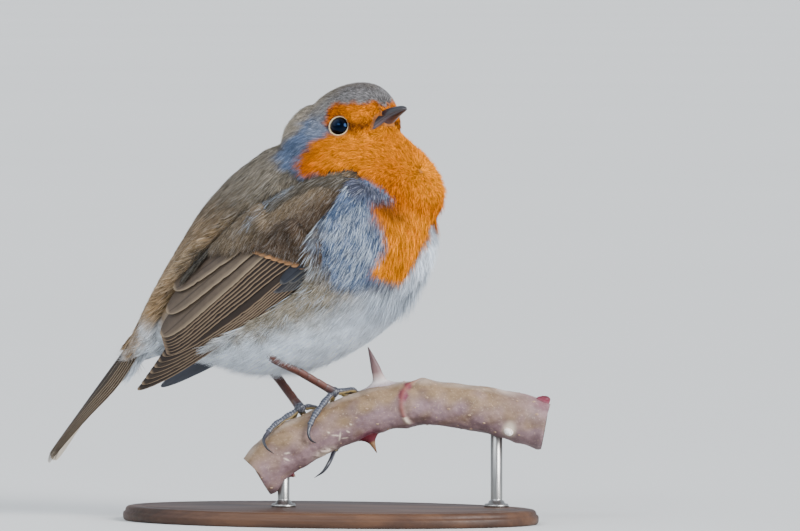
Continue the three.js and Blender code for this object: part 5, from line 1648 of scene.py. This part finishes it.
length *= 1 + 0.75 * streaming + 0.5 * (stray < 0.1) * softly(bib, 1) * softly(roots[:, 0] - 20, 4)
silver = hue_of("b4c0cc")
colour = colour * (1 - 0.2 * breast_side * (1 - orange))[:, None]
colour += (silver - colour) * (0.75 * streaming)[:, None]
under = softly(50 - roots[:, 2], 5) * softly(roots[:, 0] + 42, 8)
length *= 1 + (0.35 + 0.5 * (stray < 0.14)) * under
lift = (
    0.12 * ruff + 0.05 * breast_side + 0.06 * streaming + 0.3 * (stray < 0.1) * softly(roots[:, 0] - 20, 4)
    + 0.1 * softly(62 - roots[:, 2], 6) * softly(roots[:, 0] + 42, 8)
    + (0.1 + 0.16 * (stray < 0.14)) * under
)
unwrap = unwrapped(turn, share)
tracts = [
    ("crown_and_nape", (share < 0.2) & (orange < 0.5), body_barb),
    ("face", (share < 0.12) & (orange >= 0.5), orange_barb),
    ("throat", (share >= 0.12) & (share < 0.2) & (orange >= 0.5), orange_barb),
    ("breast", (share >= 0.2) & (orange >= 0.5), orange_barb),
    ("mantle", (share >= 0.2) & (share < 0.62) & (np.abs(turn) < 1.45) & (orange < 0.5), body_barb),
    ("breast_side_right", (share >= 0.2) & (share < 0.55) & (turn <= -1.45) & (orange < 0.5), body_barb),
    ("breast_side_left", (share >= 0.2) & (share < 0.55) & (turn >= 1.45) & (orange < 0.5), body_barb),
    ("rump", (share >= 0.62) & (np.abs(turn) < 1.45), body_barb),
    ("belly_right", (share >= 0.55) & (turn <= -1.45) & (orange < 0.5), body_barb),
    ("belly_left", (share >= 0.55) & (turn >= 1.45) & (orange < 0.5), body_barb),
]
for number, (name, chosen, material) in enumerate(tracts):
    picked = (
        values[chosen & keep] for values in (roots, out, way, length, height, width, colour, unwrap, lift)
    )
    coat_piece(f"plumage_{name}", tuft_mesh(*picked, seed=700 + number), material)

# ---------- Shoulder feathers ----------
# Small soft coverts hide the folded wing's shoulder, scapulars bridge the wing and the back, and the
# long grey feathers of the breast side stream back over the wing's front and lower edge.

# Front and upper edge of the wing that soft feathers lap over: station, along the wing, across it.
FRONT_EDGE = [
    (0, -10.9, 8.8), (1, -4.0, 5.5), (2, 2.7, 3.4), (3, 6.4, 0.9), (4, 12.0, -6.2), (5, 22.8, -7.2),
    (6, 36.0, -6.4), (7, 50.0, -3.4),
]
UPPER_EDGE = [
    (0, -11.4, 11.6), (1, -4, 16.6), (2, 6, 18.5), (3, 16, 19.2), (4, 26, 19.0), (5, 36, 17.4),
    (6, 44, 16.2),
]
# The line of the greater coverts' tips, and the rows and columns of a strip.
BAR = ((22.6, 9.0), (12.2, -4.8))
STRIP_GRID = (90, 12)


def grid_faces(down, across):
    """Quads of a grid of points that were listed row after row."""
    base = (np.arange(down - 1)[:, None] * across + np.arange(across - 1)).reshape(-1, 1)
    return base + [0, 1, across + 1, across]


def lapping_strip(edge, inside, outside, lifts, fade=(99, 1)):
    """A grid of points that bridges a wing's edge and the body beside it, with s and t of each."""
    line = read_rows(edge, np.linspace(edge[0][0], edge[-1][0], STRIP_GRID[0]))
    along = unit(np.gradient(line, axis=0))
    outward = np.column_stack([-along[:, 1], along[:, 0]])
    outward *= np.sign(np.einsum("ij,ij->i", outward, line - np.array([18.0, 6.5])))[:, None]
    narrow = 1 - 0.85 * softly(line[:, 0] - fade[0], fade[1])
    reach = (
        np.linspace(0, 1, STRIP_GRID[1])[None] * (inside * narrow + outside)[:, None]
        - (inside * narrow)[:, None]
    )
    places = line[:, None] + outward[:, None] * reach[..., None]
    s, t = places[..., 0], places[..., 1]
    on_face = on_wing(s, t, lifts[0])
    right = np.flatnonzero((skin_points[:, 1] < -2) & (skin_normals[:, 1] < 0.1))
    tree_of_skin = KDTree(len(right))
    for i, (px, _, pz) in enumerate(skin_points[right]):
        tree_of_skin.insert((px, 0, pz), i)
    tree_of_skin.balance()
    on_body = on_face.copy()
    for index in np.ndindex(on_face.shape[:2]):
        place = on_face[index]
        found = [skin_points[right[i]][1] for _, i, _ in tree_of_skin.find_n((place[0], 0, place[2]), 3)]
        on_body[index][1] = min(found) - lifts[1]
    share = softly(reach - 0.8, 1.6)[..., None]
    return on_face * (1 - share) + on_body * share, s, t


def wing_way(turn):
    """The way along the wing, turned down by some degrees, at points near the right wing."""
    slope, turn = math.radians(WING["slope"]), np.radians(turn)
    ahead = np.array([-math.cos(slope), 0, -math.sin(slope)])
    below = np.array([math.sin(slope), 0, -math.cos(slope)])
    return np.cos(turn)[:, None] * ahead + np.sin(turn)[:, None] * below


def past_bar(s, t):
    """Distance before the line of the greater coverts' tips."""
    (s0, t0), (s1, t1) = BAR
    way = unit(np.array([s1 - s0, t1 - t0]))
    return -((s - s0) * -way[1] + (t - t0) * way[0])


shoulder_s, shoulder_t = np.meshgrid(np.linspace(-11.6, 35, 120), np.linspace(0, 1, 40), indexing="ij")
low, high = columns(COVERTS, shoulder_s)
shoulder_t = low + 0.3 + (high - low - 0.4) * shoulder_t
over_coverts = softly(shoulder_s - 7.5 - 6.5 * softly(shoulder_t - 10, 1.5), 1.5)
sheets = {
    "shoulder": (on_wing(shoulder_s, shoulder_t, 0.7 - 1.2 * over_coverts), shoulder_s, shoulder_t),
    "scapular": lapping_strip(UPPER_EDGE, 3.0, 4.0, (0.5, 0.4), fade=(24, 5)),
    "breast_lap": lapping_strip(FRONT_EDGE, 0.6, 3.4, (0.2, 0.4)),
}
for number, (name, (grid, s, t)) in enumerate(sheets.items()):
    points, faces = grid.reshape(-1, 3), grid_faces(*grid.shape[:2])
    normals = outward_normals(points, faces)
    normals *= np.sign(-normals[:, 1:2])
    density = {"shoulder": 8.5, "scapular": 6.5, "breast_lap": 5.2}[name]
    read_at = scattered(points, faces, density, 900 + number)
    roots, out, s, t = read_at(points), unit(read_at(normals)), read_at(s.ravel()), read_at(t.ravel())
    share, turn, _ = by_spine(roots)
    colour, _ = marked(roots)
    wander = ripple(roots, 6, 90 + number)
    straight = untwisted(roots)
    outside_bib = (
        inside_outline(straight[:, 0], straight[:, 2], ORANGE_BIB) < (0.9 if name == "shoulder" else -0.4)
    )
    stray = np.random.default_rng(97 + number).random(len(roots))
    brown = hue_of(PLUMAGE["olive"])
    length, height, width, rise, keep = (np.full(len(roots), v) for v in (5.2, 0.9, 0.19, 0.0, True))
    if name == "shoulder":
        keep = np.where(t > 9, s < 19.5 + (t - 9) * 1.35 + wander * 1.5, past_bar(s, t) > 2.2)
        streak = (
            softly(0.9 - np.abs(t - 16.8 - wander), 0.8) * softly(s - 3, 2) * softly(22 - s, 3)
            * (stray < 0.3)
        )
        dark = softly(12.6 - t - 0.1 * past_bar(s, t), 4)[:, None]
        brown = hue_of("62533f") * (1 - dark) + hue_of("3d2f21") * dark
        colour = brown + (hue_of("98a3b0") - brown) * (streak * 0.8)[:, None]
        length = np.clip(4.6 + 0.4 * wander, 1.2, np.where(t < 10, past_bar(s, t) + 1.6 * stray - 1.4, 9))
        height[:], width[:] = 0.6, 0.165
        way = wing_way(22 + 6 * wander)
    elif name == "scapular":
        streak = softly(0.9 - np.abs(t - 17.6 - wander * 0.9), 0.9) * softly(s - 3, 2) * softly(25 - s, 3)
        streak = streak * (stray < 0.25 + 0.3 * softly(ripple(roots, 3.5, 99), 0.6))
        colour = brown + (hue_of("8d99a8") - brown) * (streak * 0.8)[:, None]
        way = wing_way(9 + 6 * wander)
    else:
        streaming = stray < 0.16
        colour = colour * 0.85 + (silver - colour * 0.85) * (0.75 * streaming)[:, None]
        clump = ripple(np.column_stack([s * 0.35, t, 0 * s]), 1.1, 98)
        colour = colour * (1 + 0.3 * np.clip(clump, -1.3, 1.3))[:, None]
        length, height[:], width = 5.6 + 2.0 * streaming, 1.4, 0.25 - 0.05 * streaming
        way = wing_way(16 + 16 * wander)
        rise = 0.1 + 0.07 * wander
    every = (roots, out, way, length, height, width, colour, unwrapped(turn, share), rise)
    picked = (values[keep & outside_bib] for values in every)
    points, quads, fans, normals, strand, hue, places = tuft_mesh(*picked, seed=950 + number)
    coat_piece(f"plumage_{name}_right", (points, quads, fans, normals, strand, hue, places), body_barb)
    points, normals, quads, fans = points * (1, -1, 1), normals * (1, -1, 1), quads[:, ::-1], fans[:, ::-1]
    places = np.column_stack([1 - places[:, 0], places[:, 1]])
    coat_piece(f"plumage_{name}_left", (points, quads, fans, normals, strand, hue, places), body_barb)

# ---------- Tail coverts ----------
# White feathers under the tail's root and short brown ones over it. They are rooted along the tail's
# first centimetre and close the gap between the rump and the tail feathers.

tail_draw = np.random.default_rng(940)
for name, count, span, sunk, long in (
    ("undertail", 1500, (0.0, 8.5), 2.5, 6.6), ("uppertail", 700, (2.0, 5.0), -0.1, 3.6)
):
    along, across = tail_draw.uniform(*span, count), tail_draw.uniform(-4.6, 4.6, count)
    down = 1 if name == "undertail" else -1
    roots = on_tail(along, across, sunk)
    way = on_tail(along + 1, across, sunk) - roots
    out = np.cross(on_tail(along, across + 0.1, sunk) - roots, way)
    out = unit(out * down * np.sign(out @ np.array([0.8, 0, -0.6]))[:, None])
    way[:, 1] += across * 0.035
    share, turn, _ = by_spine(roots)
    tone = hue_of("dfe4ea" if name == "undertail" else PLUMAGE["rump"])
    colour = tone * tail_draw.uniform(0.82, 1.0, (count, 1))
    long = long * tail_draw.uniform(0.75, 1.1, count)
    height, width, rise = (np.full(count, v) for v in (0.8, 0.2, 0.04))
    arrays = tuft_mesh(
        roots, out, way, long, height, width, colour, unwrapped(turn, share), rise, seed=941 + down
    )
    coat_piece(f"plumage_{name}", arrays, body_barb)

# ---------- Eyes and lids ----------
# The eyes are large, round and glossy black-brown, set deep in their sockets. A bare lid with a beaded
# rim of pale skin closes round each one.

eye_gloss, tree, shader = new_material(
    "eye_gloss", 0.05, Specular_IOR_Level=0.5, Specular_Tint=paint("4a78b8")
)
ring = math_node(
    tree, "ADD", attribute(tree, "pupil"), math_node(tree, "MULTIPLY", noise(tree, 0.5, 3.0), 0.1)
)
feed(shader, ramp(tree, ring, [(0.45, "000000"), (0.56, "070403"), (0.95, "090504")]))
lid_skin, tree, shader = new_material("lid_skin", 0.55)
grain = noise(tree, 0.35, 3.0)
feed(shader, ramp(tree, grain, [(0.3, "a8906a"), (0.55, "cdb98f"), (0.75, "dccca4")]))
bump(tree, shader, grain, 0.4, 0.06)
lid_lift = math.sqrt(EYE["radius"] ** 2 - EYE["opening"] ** 2)
for side, name in ((-1, "right"), (1, "left")):
    axis = eye_axis(side)
    front = unit(np.cross(np.cross(axis, (1.0, 0, 0)), axis))
    above = np.cross(axis, front) * -side
    rows, around = 40, 72
    lower = np.linspace(0.0005, math.pi - 0.0005, rows)
    turn = circle(around) * side
    flat = (
        np.cos(lower)[:, None, None] * axis
        + np.sin(lower)[:, None, None]
        * (np.cos(turn)[None, :, None] * front + np.sin(turn)[None, :, None] * above)
    )
    points, quads, fans = closed_sleeve(eye_centre(side) + flat * EYE["radius"])
    pupil = np.concatenate([np.repeat(np.sin(np.minimum(lower, math.pi / 2)), around), [0, 1]])
    ball = new_piece(
        f"eyeball_{name}", from_head(points), [quads, fans], eye_gloss, attributes={"pupil": pupil}
    )
    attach(ball, "root")
    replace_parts(ball, f"eye_{name}")
    around, ring_of = 144, 16
    turn = circle(around)
    roll = circle(ring_of)
    wide = 0.155 * (1 + 0.45 * np.cos(turn - math.radians(200))) * (1 + 0.08 * np.cos(turn * 34))
    spoke = np.cos(turn)[:, None] * front + np.sin(turn)[:, None] * above
    reach = (
        EYE["opening"] - 0.04 + 0.04 * np.cos(turn * 2)[:, None]
        + wide[:, None] * (1 + np.cos(roll)[None, :])
    )
    lift = lid_lift - 0.05 + wide[:, None] * np.sin(roll)[None, :] * 0.9 + 0.1
    rings = eye_centre(side) + spoke[:, None] * reach[..., None] + axis * lift[..., None]
    flat = from_head(rings.reshape(-1, 3))
    hoop = bridged((around + 1, ring_of)) % (around * ring_of)
    lid = new_piece(f"lid_{name}", flat, [hoop if side > 0 else hoop[:, ::-1]], lid_skin)
    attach(lid, "root")

# ---------- Bill ----------
# A fine, short bill of dark horn in two halves, with a straight ridge, a slit nostril in a soft pit on
# each side, and a paler root to the lower half. It is rooted in the feathers of the face.

for upper in (True, False):
    count, half_ring = 90, 25
    x = np.linspace(BILL[0][0], BILL[-1][0], count)
    culmen, mouth, keel, half = columns(BILL, x)
    sign = 1 if upper else -1
    seat = mouth + sign * 0.06
    rise = (culmen - mouth if upper else mouth - keel) - 0.06
    turn = np.linspace(0, math.pi, half_ring)
    y = half[:, None] * np.cos(turn) * (1 - (0.06 if upper else 0.0) * np.sin(turn) ** 2)
    z = seat[:, None] + sign * rise[:, None] * np.sin(turn) ** 0.8
    pit = np.exp(-(((x[:, None] - 11.0) / 0.75) ** 2) - (((z + 0.95) / 0.36) ** 2)) * (upper * 0.32)
    y = y - np.sign(y) * pit * (np.abs(y) > 0.4)
    rings = np.stack([x[:, None] + 0 * y, y, z], axis=2)
    if not upper:
        rings = rings[:, ::-1]
    flat, quads, fans = closed_sleeve(rings)
    base = np.concatenate([np.repeat(np.clip(1 - (x - 8.6) / 5.5, 0, 1), half_ring), [1, 0]])
    # A pale line along the mouth line is a painted highlight on the cutting edges.
    edge = np.exp(-(np.abs(rings[..., 2] - seat[:, None]) / 0.22)).ravel()
    edge = np.concatenate([edge, [0, 0]])
    name = "upper" if upper else "lower"
    horn, tree, shader = new_material(
        f"bill_horn_{name}", 0.36, Specular_IOR_Level=0.35, Coat_Weight=0.2, Coat_Roughness=0.12
    )
    grain = noise(tree, 0.7, 4.0, stretch=(0.3, 1, 1))
    dark = ramp(tree, grain, [(0.3, "0e0d10"), (0.7, "25232a")])
    root = mixed(
        tree, math_node(tree, "MULTIPLY", attribute(tree, "root"), 0.2 if upper else 0.6), dark,
        "5a5054" if upper else "75646a"
    )
    # The painted highlight along the cutting edges.
    feed(shader, mixed(tree, math_node(tree, "MULTIPLY", attribute(tree, "edge"), 0.35), root, "6f6668"))
    bump(tree, shader, grain, 0.25, 0.05)
    beak = new_piece(
        f"bill_half_{name}", from_head(flat), [quads, fans], horn, attributes={"root": base, "edge": edge}
    )
    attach(beak, "root")
    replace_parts(beak, f"bill_{name}")
